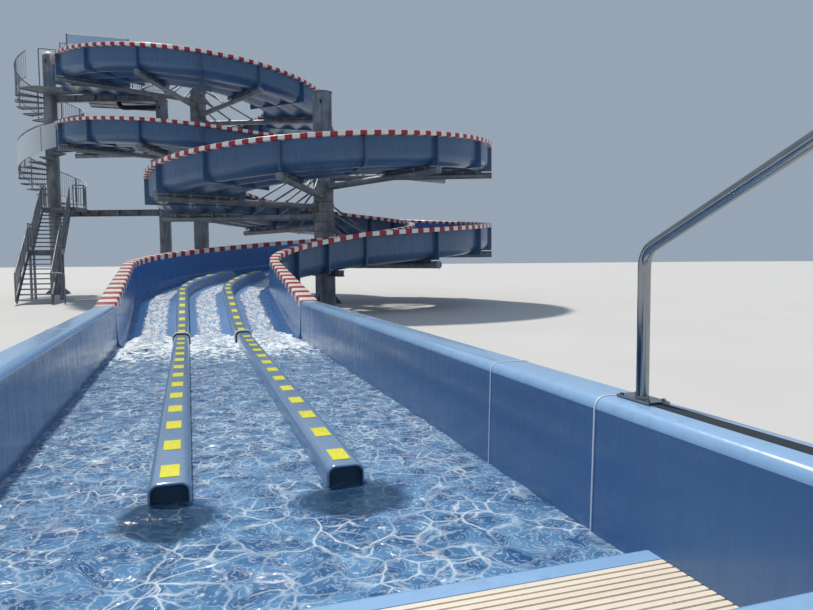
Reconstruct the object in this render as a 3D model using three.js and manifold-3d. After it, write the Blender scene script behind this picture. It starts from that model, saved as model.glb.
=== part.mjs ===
// Three-lane water slide tower. A glass-fibre trough winds in a figure of eight round two steel columns,
// turns back to the left at the foot and runs out in a basin on the ground. A straight stair and a spiral
// stair lead up to the launch platform between two thinner columns.
// Millimetres, +Z up. The origin is the foot of the right main column. The run-out heads towards -Y.
import * as THREE from "three";
import { mergeVertices } from "three/addons/utils/BufferGeometryUtils.js";
import Module from "manifold-3d";

const wasm = await Module();
wasm.setup();

// Clearance between pieces that touch
const FIT = 0.3;

// Slide path
const COIL_RADIUS = 4100;
const COLUMN_SPACING_X = 3650;
const LAUNCH_LENGTH = 2000;
const REVERSE_RADIUS = 3930;
const CHUTE_LENGTH = 3570;
const LEFT_TURNS = 1.25;
const RIGHT_TURNS = 1.5;
const QUARTER = Math.PI / 2;

// Height of the trough's rim over the ground
const RIM_AFTER_COILS = 2080;
const COIL_FALL = 0.0967;
const RIM_AFTER_REVERSE = 1343;
const RIM_AT_BASIN = 764;

// Trough section, half widths from the centreline
const TROUGH_HALF = 1140;
const BASIN_HALF = 1260;
const LIP_WIDTH = 180;
const COPING_WIDTH = 270;
const LIP_HEIGHT = 110;
const LIP_ROUND = 35;
const WALL = 45;
const TROUGH_DEPTH = 800;
const CHUTE_END_DEPTH = 704;
const SHELL_UNDER_LANE = 50;
const LANE_RISE = 110;
const LOW_RIDGE = 20;
const DIVIDER_RISE = 280;
const DIVIDER_HALF = 98;
const DIVIDER_CROWN = 0.6;
const DIVIDER_STARTS_AFTER = 3450;
const DIVIDER_TAPER = 300;
const STATION_PITCH = 806;
// Rounding at the foot of the wall inside and outside: how far in from the wall, how far up from the floor
const INNER_FOOT = [
  [110, 60],
  [25, 210],
];
const OUTER_FOOT = [
  [-35, 180],
  [60, 40],
  [190, -35],
];

// Columns: the two thick ones carry the coils, the two thin ones the stairs and the platform
const COLUMN_SIDES = 16;
const MAIN_RADIUS = 305;
const THIN_RADIUS = 250;
const RIGHT_COLUMN = { x: 0, y: 0, radius: MAIN_RADIUS, top: 6780 };
const LEFT_COLUMN = { x: -COLUMN_SPACING_X, y: 2 * COIL_RADIUS, radius: MAIN_RADIUS, top: 9380 };
const STAIR_COLUMN = { x: -9780, y: 11600, radius: THIN_RADIUS, top: 10480 };
const PLATFORM_COLUMN = { x: -5130, y: 9870, radius: THIN_RADIUS, top: 8440 };
const BASE_PLATE = 900;
const BASE_PLATE_THICK = 35;
const CAP_RISE = 120;
const CAP_STEPS = 5;

// Cantilever arms under every second flange of the coils, each held by two stays from the column
const ARM_RADIUS = 97;
const ARM_SIDES = 12;
const ARM_UNDER_RIM = 990;
const ARM_END = 1300;
const ARM_END_RADIUS = 112;
const ARM_END_THICK = 20;
const ARM_PLATE = 290;
const ARM_PLATE_THICK = 30;
const CRADLE_THICK = 90;
const CRADLE_HALF = 1020;
const CRADLE_GAP = 1.6;
const STAYS = [
  { reach: 2400, rise: 1300 },
  { reach: 1450, rise: 850 },
];
const STAY_SIZE = 60;
const STAY_PLATE = 130;
const STAY_PLATE_THICK = 60;

// Post with a crossbeam under the first flange of the reverse curve
const POST_AFTER = 760;
const POST_RADIUS = 205;
const POST_BEAM_HALF = 950;
const POST_BEAM_DEPTH = 160;
const POST_BEAM_WIDTH = 150;
const POST_FOOT = 600;
const POST_FOOT_THICK = 20;

// Basin on the ground, places along -Y from the end of the chute. The dividers fall a little to their end.
const BASIN_FLOOR = 40;
const BASIN_WALL = 45;
const BASIN_JOINTS = [3370, 6455, 7435, 10300];
const BASIN_DIVIDER_END = 6530;
const BASIN_DIVIDER_TOPS = [340, 305];
const BASIN_DIVIDER_CROWN = [
  [1, -60],
  [0.86, -20],
  [0.5, 0],
];
const STEP_GAP = 62;
const STEP_LAP = 5;
const BASIN_FOOT = [
  [60, 0],
  [15, 45],
];
const WEIR_AT = 7766;
const WEIR_TOP = 270;
const GRATING_END = 8554;
const STEP_TOP = 520;
const STEP_END = 9700;
const LOW_STEP_TOP = 260;

// Platform, landing and stairs
const DECK_TOP = 8800;
const DECK_Y_LENGTH = 3200;
const DECK_RIGHT = -4950;
const BEAM_TOP = 8720;
const BEAM_DEPTH = 280;
const BEAM_WIDTH = 200;
const LANDING_TOP = 3750;
const LANDING_THICK = 160;
const LANDING_PLATE = 30;
const RAIL_SIZE = 50;
const LOW_RAIL_UP = 145;
const DECK_RAIL_HEIGHT = 1300;
const LANDING_RAIL_HEIGHT = 1000;
const STAIR_RAIL_HEIGHT = 950;
const STAIR_LOW_RAIL = { up: 260, size: 25 };
const STAIR_POSTS = 4;
const LEG_SIZE = 80;
const LEG_INSET = 60;
const INNER_POST = 42;
const STAIR_WIDTH = 1100;
const STAIR_RISERS = 11;
const STAIR_GOING = 290;
const STAIR_SKEW = 0.0513;
const STAIR_HEAD = { x: -9490, y: 10250 };
const MID_LANDING_LENGTH = 1000;
const STRINGER = 45;
const STRINGER_DEPTH = 230;
const STRINGER_FOOT = 200;
const TREAD_THICK = 40;
const TREAD_GAP = 20;
const TREAD_LAP = 40;
const FLIGHT_CLEAR = 12;
const SPIRAL_RADIUS = 1340;
const SPIRAL_STEPS = 26;
const SPIRAL_START = THREE.MathUtils.degToRad(45);
const SPIRAL_TURN = THREE.MathUtils.degToRad(554);
const SPIRAL_RAIL_FROM = THREE.MathUtils.degToRad(-8);
const SPIRAL_SLEEVE = 22;
const SPIRAL_RAIL_HEIGHT = 1300;
const SPIRAL_RAIL_INSET = 30;
const SPIRAL_LOW_RAIL = { up: 190, depth: 30 };
const BANNER = { from: THREE.MathUtils.degToRad(170), to: THREE.MathUtils.degToRad(325), up: 60, under: 100, thick: 16 };
const WELL_GAP = 80;
const WELL_NEAR = 700;
const TOP_LANDING_LEFT = 320;

// Start portal with a board that makes riders sit, and a low screen beside the stair column
const PORTAL_X = -7635;
const PORTAL_HALF = 1205;
const PORTAL_TOP = 11100;
const PORTAL_BOARD = { height: 440, thick: 40 };
const PORTAL_POST = 60;
const SCREEN_POSTS = [-9930, -9110];
const SCREEN_RAIL = 10350;
const SCREEN_TOP = 10660;

// Water feed pipe
const PIPE_RADIUS = 100;
const PIPE_SIDES = 8;
const PIPE_STEPS = 30;
const PIPE_BEND = 260;
const PIPE_FROM_COLUMN = 40;
const PIPE_UNDER_BEAM = 190;
const PIPE_RUN = 2100;

// Materials, from the photograph
const paint = (color, roughness, metalness) =>
  new THREE.MeshStandardMaterial({ color, roughness, metalness });
const TROUGH_BLUE = paint(0x3f6286, 0.35, 0);
const BASIN_BLUE = paint(0x5f93cc, 0.25, 0);
const GALVANISED = paint(0x8b8f90, 0.5, 0.8);
const GREY_COLUMN = paint(0x74797b, 0.55, 0.6);
const STAINLESS = paint(0xb9bcc0, 0.25, 1);
const GRATING = paint(0xb9ab93, 0.7, 0);
const PALE_BOARD = paint(0xc5ccd0, 0.5, 0);
const BLACK_PIPE = paint(0x1c1d1f, 0.6, 0);

const tower = new THREE.Group();

function place(name, geometry, material) {
  const mesh = new THREE.Mesh(geometry, material);
  mesh.name = name;
  tower.add(mesh);
  return mesh;
}

// A closed geometry as a solid that can be joined and cut
function solid(geometry) {
  const bare = geometry.clone();
  bare.deleteAttribute("normal");
  bare.deleteAttribute("uv");
  const merged = mergeVertices(bare, 1e-3);
  return new wasm.Manifold(
    new wasm.Mesh({
      numProp: 3,
      vertProperties: new Float32Array(merged.attributes.position.array),
      triVerts: new Uint32Array(merged.index.array),
    }),
  );
}

function geometryOf(body) {
  const mesh = body.getMesh();
  const geometry = new THREE.BufferGeometry();
  geometry.setAttribute("position", new THREE.BufferAttribute(mesh.vertProperties, 3));
  geometry.setIndex(new THREE.BufferAttribute(mesh.triVerts, 1));
  geometry.computeVertexNormals();
  return geometry;
}

const join = (pieces) => geometryOf(pieces.map(solid).reduce((a, b) => a.add(b)));

const cut = (body, tools) => geometryOf(tools.map(solid).reduce((a, b) => a.subtract(b), solid(body)));

// Box between two corners
function box(x0, y0, z0, x1, y1, z1) {
  return new THREE.BoxGeometry(x1 - x0, y1 - y0, z1 - z0).translate(
    (x0 + x1) / 2,
    (y0 + y1) / 2,
    (z0 + z1) / 2,
  );
}

// Bar of square section between two points
function bar(from, to, width, depth = width) {
  const run = new THREE.Vector3().subVectors(to, from);
  const geometry = new THREE.BoxGeometry(width, depth, run.length());
  const side = new THREE.Vector3(0, 0, 1).cross(run);
  if (side.lengthSq() < 1) side.set(1, 0, 0);
  side.normalize();
  const forward = run.clone().normalize();
  const up = forward.clone().cross(side);
  return geometry
    .applyMatrix4(new THREE.Matrix4().makeBasis(side, up, forward))
    .translate((from.x + to.x) / 2, (from.y + to.y) / 2, (from.z + to.z) / 2);
}

const at = (x, y, z) => new THREE.Vector3(x, y, z);

// Turns a geometry's triangles over when they face inwards
function facingOut(geometry) {
  const p = geometry.attributes.position;
  const index = geometry.index.array;
  const corner = (i) => new THREE.Vector3().fromBufferAttribute(p, index[i]);
  let volume = 0;
  for (let i = 0; i < index.length; i += 3) volume += corner(i).dot(corner(i + 1).cross(corner(i + 2)));
  if (volume < 0)
    for (let i = 0; i < index.length; i += 3) [index[i], index[i + 1]] = [index[i + 1], index[i]];
  geometry.computeVertexNormals();
  return geometry;
}

// Closed solid through a row of outlines that all have the same number of points
function loft(rings, outline) {
  const count = outline.length;
  const index = [];
  for (let r = 0; r + 1 < rings.length; r++)
    for (let i = 0; i < count; i++) {
      const j = (i + 1) % count;
      const near = r * count;
      const far = near + count;
      index.push(near + i, near + j, far + j, near + i, far + j, far + i);
    }
  const ends = THREE.ShapeUtils.triangulateShape(outline, []);
  const clockwise = THREE.ShapeUtils.isClockWise(outline);
  const last = (rings.length - 1) * count;
  for (const [a, b, c] of ends) {
    const [first, second] = clockwise ? [b, c] : [c, b];
    index.push(a, first, second, last + a, last + second, last + first);
  }
  const geometry = new THREE.BufferGeometry();
  geometry.setAttribute("position", new THREE.Float32BufferAttribute(rings.flat().flatMap((v) => [v.x, v.y, v.z]), 3));
  geometry.setIndex(new THREE.BufferAttribute(new Uint32Array(index), 1));
  return facingOut(geometry);
}

// Slide path: straight launch, left coil, straight crossover, right coil, reverse curve, straight chute
const route = [
  { length: LAUNCH_LENGTH, bend: 0 },
  { length: LEFT_TURNS * 4 * QUARTER * COIL_RADIUS, bend: 1 / COIL_RADIUS },
  { length: COLUMN_SPACING_X, bend: 0 },
  { length: RIGHT_TURNS * 4 * QUARTER * COIL_RADIUS, bend: -1 / COIL_RADIUS },
  { length: QUARTER * REVERSE_RADIUS, bend: 1 / REVERSE_RADIUS },
  { length: CHUTE_LENGTH, bend: 0 },
];
{
  let s = 0;
  let x = LEFT_COLUMN.x - COIL_RADIUS;
  let y = LEFT_COLUMN.y + LAUNCH_LENGTH;
  let heading = -QUARTER;
  for (const leg of route) {
    Object.assign(leg, { start: s, x, y, heading });
    ({ x, y, heading } = along(leg, leg.length));
    s += leg.length;
  }
}
const [LAUNCH, LEFT_COIL, CROSSOVER, RIGHT_COIL, REVERSE, CHUTE] = route;
const ROUTE_END = CHUTE.start + CHUTE.length;
const BASIN_Y = along(CHUTE, CHUTE.length).y;
const BASIN_X = CHUTE.x;

function along(leg, d) {
  if (leg.bend === 0)
    return { x: leg.x + Math.cos(leg.heading) * d, y: leg.y + Math.sin(leg.heading) * d, heading: leg.heading };
  const heading = leg.heading + leg.bend * d;
  return {
    x: leg.x + (Math.sin(heading) - Math.sin(leg.heading)) / leg.bend,
    y: leg.y - (Math.cos(heading) - Math.cos(leg.heading)) / leg.bend,
    heading,
  };
}

function pathAt(s) {
  const leg = route.findLast((l) => s >= l.start) ?? LAUNCH;
  return along(leg, s - leg.start);
}

const mix = (a, b, t) => a + (b - a) * Math.min(1, Math.max(0, t));

function rimHeight(s) {
  if (s <= REVERSE.start) return RIM_AFTER_COILS + (REVERSE.start - s) * COIL_FALL;
  if (s <= CHUTE.start) return mix(RIM_AFTER_COILS, RIM_AFTER_REVERSE, (s - REVERSE.start) / REVERSE.length);
  return mix(RIM_AFTER_REVERSE, RIM_AT_BASIN, (s - CHUTE.start) / CHUTE.length);
}

// Depth of the lanes under the rim. Down the chute the lanes leave the reverse curve's slope in a smooth
// curve that ends level, while the rim falls in a straight line.
function laneDepth(s) {
  const t = (s - CHUTE.start) / CHUTE.length;
  if (t <= 0) return TROUGH_DEPTH;
  const from = RIM_AFTER_REVERSE - TROUGH_DEPTH;
  const to = RIM_AT_BASIN - CHUTE_END_DEPTH;
  const slope = ((RIM_AFTER_REVERSE - RIM_AFTER_COILS) / REVERSE.length) * CHUTE.length;
  const lane = from * (2 * t ** 3 - 3 * t ** 2 + 1) + slope * (t ** 3 - 2 * t ** 2 + t) + to * (3 * t ** 2 - 2 * t ** 3);
  return rimHeight(s) - lane;
}

// Half widths at a place on the path: inside the walls, out to the lip's edge, and out to the lanes' edge
function halfWidths(s) {
  const past = s - REVERSE.start;
  const outer = mix(TROUGH_HALF + LIP_WIDTH, BASIN_HALF + COPING_WIDTH, past / (ROUTE_END - REVERSE.start));
  const half = mix(TROUGH_HALF, BASIN_HALF, past / REVERSE.length);
  const lanes = mix(TROUGH_HALF, BASIN_HALF, past / DIVIDER_STARTS_AFTER);
  return { outer, half, lanes };
}

// Outline of the trough at a place on the path: x is to the left of travel, y is up from the rim
function troughOutline(s) {
  const { outer, half, lanes } = halfWidths(s);
  const floor = -laneDepth(s);
  const tip = (s - REVERSE.start - DIVIDER_STARTS_AFTER) / DIVIDER_TAPER;
  const crown = floor + mix(LANE_RISE + LOW_RIDGE, DIVIDER_RISE, tip);
  const lane = lanes / 3;
  const ridge = floor + LANE_RISE;
  const inside = [
    [lane - DIVIDER_HALF, ridge],
    [lane - DIVIDER_HALF * DIVIDER_CROWN, crown],
    [lane + DIVIDER_HALF * DIVIDER_CROWN, crown],
    [lane + DIVIDER_HALF, ridge],
    [2 * lane, floor],
    ...INNER_FOOT.map(([inward, up]) => [half - inward, floor + up]),
    [half, -LIP_ROUND],
  ];
  const rim = [
    [half + LIP_ROUND, 0],
    [outer - LIP_ROUND, 0],
    [outer, -LIP_ROUND],
    [outer, -LIP_HEIGHT],
    [half + WALL, -LIP_HEIGHT],
  ];
  const under = floor - SHELL_UNDER_LANE;
  const outside = [
    ...OUTER_FOOT.map(([inward, up]) => [half - inward, floor + up]),
    [2 * lane, under],
    [lane, under + LANE_RISE],
  ];
  const right = [...inside, ...rim, ...outside];
  const left = right.map(([u, v]) => [-u, v]).reverse();
  return [[0, floor], ...right, [0, under], ...left].map(([u, v]) => new THREE.Vector2(u, v));
}

// A point of the trough's section, set up on the path
function onPath(s, u, v) {
  const { x, y, heading } = pathAt(s);
  return at(x - Math.sin(heading) * u, y + Math.cos(heading) * u, rimHeight(s) + v);
}

// Places for the trough's sections: even steps, and the two ends of the dividers' tips
function stations(from, to, steps) {
  const places = [];
  for (let i = 0; i <= steps; i++) places.push(from + FIT / 2 + ((to - from - FIT) * i) / steps);
  const tip = REVERSE.start + DIVIDER_STARTS_AFTER;
  for (const s of [tip, tip + DIVIDER_TAPER]) if (s > from && s < to) places.push(s);
  return places.sort((a, b) => a - b);
}

function trough(name, from, to, straight = false) {
  const steps = straight ? 1 : Math.round((to - from) / STATION_PITCH);
  const rings = stations(from, to, steps).map((s) => troughOutline(s).map((q) => onPath(s, q.x, q.y)));
  place(name, loft(rings, troughOutline(from)), TROUGH_BLUE);
}

function troughRun(prefix, leg, parts) {
  for (let i = 0; i < parts; i++)
    trough(prefix + (i + 1), leg.start + (leg.length * i) / parts, leg.start + (leg.length * (i + 1)) / parts);
}

trough("launch_trough", LAUNCH.start, LEFT_COIL.start, true);
troughRun("left_coil_trough_", LEFT_COIL, 4);
trough("crossover_trough", CROSSOVER.start, RIGHT_COIL.start, true);
troughRun("right_coil_trough_", RIGHT_COIL, 4);
trough("reverse_curve_trough", REVERSE.start, CHUTE.start);
trough("chute_trough", CHUTE.start, ROUTE_END);

// Round tube with flat sides turned so that one side faces each arm
function roundColumn(column, radius, z0, z1) {
  const across = radius / Math.cos(Math.PI / COLUMN_SIDES);
  return new THREE.CylinderGeometry(across, across, z1 - z0, COLUMN_SIDES)
    .rotateX(QUARTER)
    .rotateZ(Math.PI / COLUMN_SIDES)
    .translate(column.x, column.y, (z0 + z1) / 2);
}

function column(name, spec, extra = []) {
  const half = BASE_PLATE / 2;
  place(
    name,
    join([
      roundColumn(spec, spec.radius, BASE_PLATE_THICK / 2, spec.top),
      box(spec.x - half, spec.y - half, 0, spec.x + half, spec.y + half, BASE_PLATE_THICK),
      ...extra,
    ]),
    GREY_COLUMN,
  );
}

column("right_main_column", RIGHT_COLUMN);
column("left_main_column", LEFT_COLUMN);
column("stair_column", STAIR_COLUMN, [
  closedDome(THIN_RADIUS, CAP_RISE).translate(STAIR_COLUMN.x, STAIR_COLUMN.y, STAIR_COLUMN.top - 1),
]);
column("platform_column", PLATFORM_COLUMN);

// Low dome with a flat underside
function closedDome(radius, rise) {
  const profile = [new THREE.Vector2(0, 0)];
  for (let i = 0; i < CAP_STEPS; i++) {
    const a = (QUARTER * i) / CAP_STEPS;
    profile.push(new THREE.Vector2(radius * Math.cos(a), rise * Math.sin(a)));
  }
  profile.push(new THREE.Vector2(0, rise));
  const bare = new THREE.LatheGeometry(profile, COLUMN_SIDES).rotateX(QUARTER);
  bare.deleteAttribute("normal");
  bare.deleteAttribute("uv");
  return facingOut(mergeVertices(bare, 1e-3));
}

// Arm from a column out to the far edge of the trough, with a cradle under the trough's lobes
function arm(name, column, s) {
  const p = pathAt(s);
  const azimuth = Math.atan2(p.y - column.y, p.x - column.x);
  const rim = rimHeight(s);
  const height = rim - ARM_UNDER_RIM;
  const reach = COIL_RADIUS + ARM_END;
  const foot = column.radius + FIT;
  const seat = rim - TROUGH_DEPTH - SHELL_UNDER_LANE - CRADLE_GAP;
  const tube = new THREE.CylinderGeometry(ARM_RADIUS, ARM_RADIUS, reach - foot - ARM_PLATE_THICK / 2, ARM_SIDES)
    .rotateZ(-QUARTER)
    .translate((reach + foot + ARM_PLATE_THICK / 2) / 2, 0, height);
  const side = ARM_PLATE / 2;
  const footPlate = box(foot, -side, height - side, foot + ARM_PLATE_THICK, side, height + side);
  const endPlate = new THREE.CylinderGeometry(ARM_END_RADIUS, ARM_END_RADIUS, ARM_END_THICK, ARM_SIDES)
    .rotateZ(-QUARTER)
    .translate(reach, 0, height);
  const cradle = box(
    COIL_RADIUS - CRADLE_HALF,
    -CRADLE_THICK / 2,
    height,
    COIL_RADIUS + CRADLE_HALF,
    CRADLE_THICK / 2,
    seat,
  );
  // The cradle's top leans with the fall of the trough
  const turn = column === LEFT_COLUMN ? 1 : -1;
  const corners = cradle.attributes.position;
  for (let i = 0; i < corners.count; i++)
    if (corners.getZ(i) > height + 1) corners.setZ(i, corners.getZ(i) - turn * corners.getY(i) * COIL_FALL);
  const stays = STAYS.flatMap(({ reach: out, rise }) => {
    const head = Math.min(height + rise, column.top - STAY_PLATE / 2);
    const half = STAY_PLATE / 2;
    return [
      bar(at(out, 0, height), at(foot + STAY_PLATE_THICK / 2, 0, head), STAY_SIZE),
      box(foot, -half, head - half, foot + STAY_PLATE_THICK, half, head + half),
    ];
  });
  const body = join([tube, footPlate, endPlate, cradle, ...stays]).rotateZ(azimuth).translate(column.x, column.y, 0);
  place(name, body, GALVANISED);
}

function armRow(prefix, leg, column) {
  const pitch = (QUARTER / 2) * COIL_RADIUS;
  const count = Math.floor(leg.length / pitch);
  for (let i = 0; i < count; i++) arm(prefix + (i + 1), column, leg.start + pitch * (i + 0.5));
}

armRow("left_coil_arm_", LEFT_COIL, LEFT_COLUMN);
armRow("right_coil_arm_", RIGHT_COIL, RIGHT_COLUMN);

// Basin
const basinY = (d) => BASIN_Y - d;

function basinOutline() {
  const half = BASIN_HALF;
  const top = RIM_AT_BASIN;
  const outer = half + COPING_WIDTH;
  const right = [
    ...BASIN_FOOT.map(([inward, up]) => [half - inward, BASIN_FLOOR + up]),
    [half, top - LIP_ROUND],
    [half + LIP_ROUND, top],
    [outer - LIP_ROUND, top],
    [outer, top - LIP_ROUND],
    [outer, top - LIP_HEIGHT],
    [half + BASIN_WALL, top - LIP_HEIGHT],
    [half + BASIN_WALL, 0],
  ];
  const left = right.map(([u, v]) => [-u, v]).reverse();
  return [...right, ...left].map(([u, v]) => new THREE.Vector2(u, v));
}

function basinSection(name, from, to) {
  const outline = basinOutline();
  const ring = (d) => outline.map((q) => at(BASIN_X + q.x, basinY(d), q.y));
  place(name, loft([ring(from + FIT / 2), ring(to - FIT / 2)], outline), BASIN_BLUE);
}

let jointBefore = 0;
["basin_head", "basin_middle", "basin_weir_section", "basin_exit_section"].forEach((name, i) => {
  basinSection(name, jointBefore, BASIN_JOINTS[i]);
  jointBefore = BASIN_JOINTS[i];
});

function basinDivider(name, offset) {
  const z0 = BASIN_FLOOR + FIT;
  const outline = (top) => {
    const right = BASIN_DIVIDER_CROWN.map(([across, down]) => [DIVIDER_HALF * across, top + down]);
    const left = right.map(([u, v]) => [-u, v]).reverse();
    const points = [[-DIVIDER_HALF, z0], [DIVIDER_HALF, z0], ...right, ...left];
    return points.map(([u, v]) => new THREE.Vector2(u, v));
  };
  const ring = (d, top) => outline(top).map((q) => at(BASIN_X + offset + q.x, basinY(d), q.y));
  const [high, low] = BASIN_DIVIDER_TOPS;
  place(name, loft([ring(FIT, high), ring(BASIN_DIVIDER_END, low)], outline(high)), BASIN_BLUE);
}

basinDivider("basin_divider_left", -BASIN_HALF / 3);
basinDivider("basin_divider_right", BASIN_HALF / 3);

const stepHalf = BASIN_HALF - STEP_GAP;
place(
  "weir_grating",
  box(
    BASIN_X - stepHalf,
    basinY(GRATING_END),
    BASIN_FLOOR + FIT,
    BASIN_X + stepHalf,
    basinY(WEIR_AT),
    WEIR_TOP,
  ),
  GRATING,
);
place(
  "exit_steps",
  join([
    box(BASIN_X - stepHalf, basinY(STEP_END), BASIN_FLOOR + FIT, BASIN_X + stepHalf, basinY(GRATING_END) - FIT, STEP_TOP),
    box(
      BASIN_X - stepHalf,
      basinY(BASIN_JOINTS[3]),
      BASIN_FLOOR + FIT,
      BASIN_X + stepHalf,
      basinY(STEP_END) + STEP_LAP,
      LOW_STEP_TOP,
    ),
  ]),
  BASIN_BLUE,
);

// Handrail on the right-hand coping, as seen when looking up the slide
const HANDRAIL_X = BASIN_X + BASIN_HALF + COPING_WIDTH / 2;
const HANDRAIL_FOOT_D = 7560;
const HANDRAIL_POST = 590;
const HANDRAIL_RUN = 2500;
const HANDRAIL_RISE = 1050;
const HANDRAIL_PLATE = { across: 100, along: 200 };
const HANDRAIL_PLATE_THICK = 12;
const TUBE = 50;
{
  const top = RIM_AT_BASIN + FIT;
  const foot = at(HANDRAIL_X, basinY(HANDRAIL_FOOT_D), top);
  const bend = foot.clone().add(at(0, 0, HANDRAIL_POST));
  const high = bend.clone().add(at(0, -HANDRAIL_RUN, HANDRAIL_RISE));
  const far = at(high.x, high.y, top);
  const [dx, dy] = [HANDRAIL_PLATE.across / 2, HANDRAIL_PLATE.along / 2];
  const plate = (p) => box(p.x - dx, p.y - dy, top, p.x + dx, p.y + dy, top + HANDRAIL_PLATE_THICK);
  const seat = at(0, 0, HANDRAIL_PLATE_THICK / 2);
  place(
    "coping_handrail",
    join([
      plate(foot),
      plate(far),
      bar(foot.clone().add(seat), bend.clone().add(at(0, 0, TUBE / 2)), TUBE),
      bar(bend, high, TUBE),
      bar(far.clone().add(seat), high.clone().add(at(0, 0, TUBE / 2)), TUBE),
    ]),
    STAINLESS,
  );
}

// Post with a crossbeam under the trough where the reverse curve begins
{
  const s = REVERSE.start + POST_AFTER;
  const { x, y, heading } = pathAt(s);
  const innerLane = REVERSE_RADIUS - (halfWidths(s).lanes * 2) / 3;
  const fall = (((RIM_AFTER_COILS - RIM_AFTER_REVERSE) / REVERSE.length) * REVERSE_RADIUS) / innerLane;
  const wide = POST_BEAM_WIDTH / 2;
  const top = rimHeight(s) - TROUGH_DEPTH - SHELL_UNDER_LANE - fall * wide - FIT;
  const height = top - POST_BEAM_DEPTH / 2;
  const side = POST_FOOT / 2;
  const post = new THREE.CylinderGeometry(POST_RADIUS, POST_RADIUS, height - POST_FOOT_THICK / 2, COLUMN_SIDES)
    .rotateX(QUARTER)
    .translate(0, 0, (height + POST_FOOT_THICK / 2) / 2);
  const body = join([
    post,
    box(-side, -side, 0, side, side, POST_FOOT_THICK),
    box(-POST_BEAM_HALF, -wide, top - POST_BEAM_DEPTH, POST_BEAM_HALF, wide, top),
  ]);
  place("reverse_curve_trestle", body.rotateZ(heading - QUARTER).translate(x, y, 0), GALVANISED);
}

// Beams between the two thin columns
const span = at(PLATFORM_COLUMN.x - STAIR_COLUMN.x, PLATFORM_COLUMN.y - STAIR_COLUMN.y, 0);
const spanAngle = Math.atan2(span.y, span.x);
const columnReach = clearOf(THIN_RADIUS, spanAngle);
const sleeveReach = clearOf(THIN_RADIUS + SPIRAL_SLEEVE + FIT, spanAngle);

// How far from a column's centre a flat end has to stop, in a direction, to clear its sides
function clearOf(radius, angle) {
  const side = (2 * Math.PI) / COLUMN_SIDES;
  const fromCorner = ((((angle - side / 2) % side) + side * 1.5) % side) - side / 2;
  return (radius / Math.cos(side / 2)) * Math.cos(fromCorner) + FIT;
}

function beam(from, to, top, depth) {
  return box(from, -BEAM_WIDTH / 2, top - depth, to, BEAM_WIDTH / 2, top)
    .rotateZ(spanAngle)
    .translate(STAIR_COLUMN.x, STAIR_COLUMN.y, 0);
}

const landingBeam = beam(columnReach, span.length() - columnReach, LANDING_TOP - LANDING_PLATE - FIT, BEAM_DEPTH);
place("landing_beam", landingBeam, GREY_COLUMN);
place("platform_beam", beam(sleeveReach, span.length() + THIN_RADIUS, BEAM_TOP, BEAM_DEPTH - FIT), GREY_COLUMN);

// Launch deck, open round the spiral stair except at its head
const DECK_Y0 = LEFT_COLUMN.y + LAUNCH_LENGTH + FIT / 2;
const DECK_Y1 = DECK_Y0 + DECK_Y_LENGTH;
const WELL_X = STAIR_COLUMN.x + SPIRAL_RADIUS + WELL_GAP;
const STAIR_HEAD_ANGLE = SPIRAL_START + SPIRAL_TURN;
const STAIR_HEAD_GAP = 0.01;
const WELL_ANGLE = THREE.MathUtils.degToRad(690);

const roundStair = (angle, radius) => [
  STAIR_COLUMN.x + radius * Math.cos(angle),
  STAIR_COLUMN.y + radius * Math.sin(angle),
];

function slab(corners, top, thick) {
  const outline = new THREE.Shape(corners.map(([x, y]) => new THREE.Vector2(x, y)));
  return new THREE.ExtrudeGeometry(outline, { depth: thick, bevelEnabled: false }).translate(0, 0, top - thick);
}

place(
  "platform_deck",
  cut(
    slab(
      [
        [STAIR_COLUMN.x, STAIR_COLUMN.y],
        roundStair(STAIR_HEAD_ANGLE + STAIR_HEAD_GAP, SPIRAL_RADIUS),
        [STAIR_COLUMN.x - TOP_LANDING_LEFT, DECK_Y0],
        [DECK_RIGHT, DECK_Y0],
        [DECK_RIGHT, DECK_Y1],
        [WELL_X, DECK_Y1],
        [WELL_X, STAIR_COLUMN.y - WELL_NEAR],
        roundStair(WELL_ANGLE, SPIRAL_RADIUS + WELL_GAP / 2),
      ],
      DECK_TOP,
      DECK_TOP - BEAM_TOP - FIT,
    ),
    [roundColumn(STAIR_COLUMN, THIN_RADIUS + SPIRAL_SLEEVE + 2 * FIT, 0, 2 * DECK_TOP)],
  ),
  GALVANISED,
);

// Railing of posts and two rails through a row of points
function railing(points, height, postEvery = 1000) {
  const pieces = [];
  for (let i = 0; i + 1 < points.length; i++) {
    const [a, b] = [points[i], points[i + 1]];
    for (const up of [height - RAIL_SIZE / 2, LOW_RAIL_UP]) {
      const reach = b.clone().sub(a).setLength(RAIL_SIZE / 2);
      pieces.push(
        bar(a.clone().sub(reach).add(at(0, 0, up)), b.clone().add(reach).add(at(0, 0, up)), RAIL_SIZE),
      );
    }
    const posts = Math.max(1, Math.round(a.distanceTo(b) / postEvery));
    for (let k = i === 0 ? 0 : 1; k <= posts; k++) {
      const foot = a.clone().lerp(b, k / posts);
      pieces.push(bar(foot, foot.clone().add(at(0, 0, height - 1)), RAIL_SIZE));
    }
  }
  return pieces;
}

const deckEdge = 60;
const DECK_RAIL = DECK_TOP + FIT;
place(
  "platform_railing",
  join(
    railing(
      [
        at(WELL_X + deckEdge, STAIR_COLUMN.y - WELL_NEAR + 2 * deckEdge, DECK_RAIL),
        at(WELL_X + deckEdge, DECK_Y1 - deckEdge, DECK_RAIL),
        at(DECK_RIGHT - deckEdge, DECK_Y1 - deckEdge, DECK_RAIL),
        at(DECK_RIGHT - deckEdge, DECK_Y0 + deckEdge, DECK_RAIL),
        at(PORTAL_X + PORTAL_HALF + 2 * deckEdge, DECK_Y0 + deckEdge, DECK_RAIL),
      ],
      DECK_RAIL_HEIGHT,
    ),
  ),
  GALVANISED,
);

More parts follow.
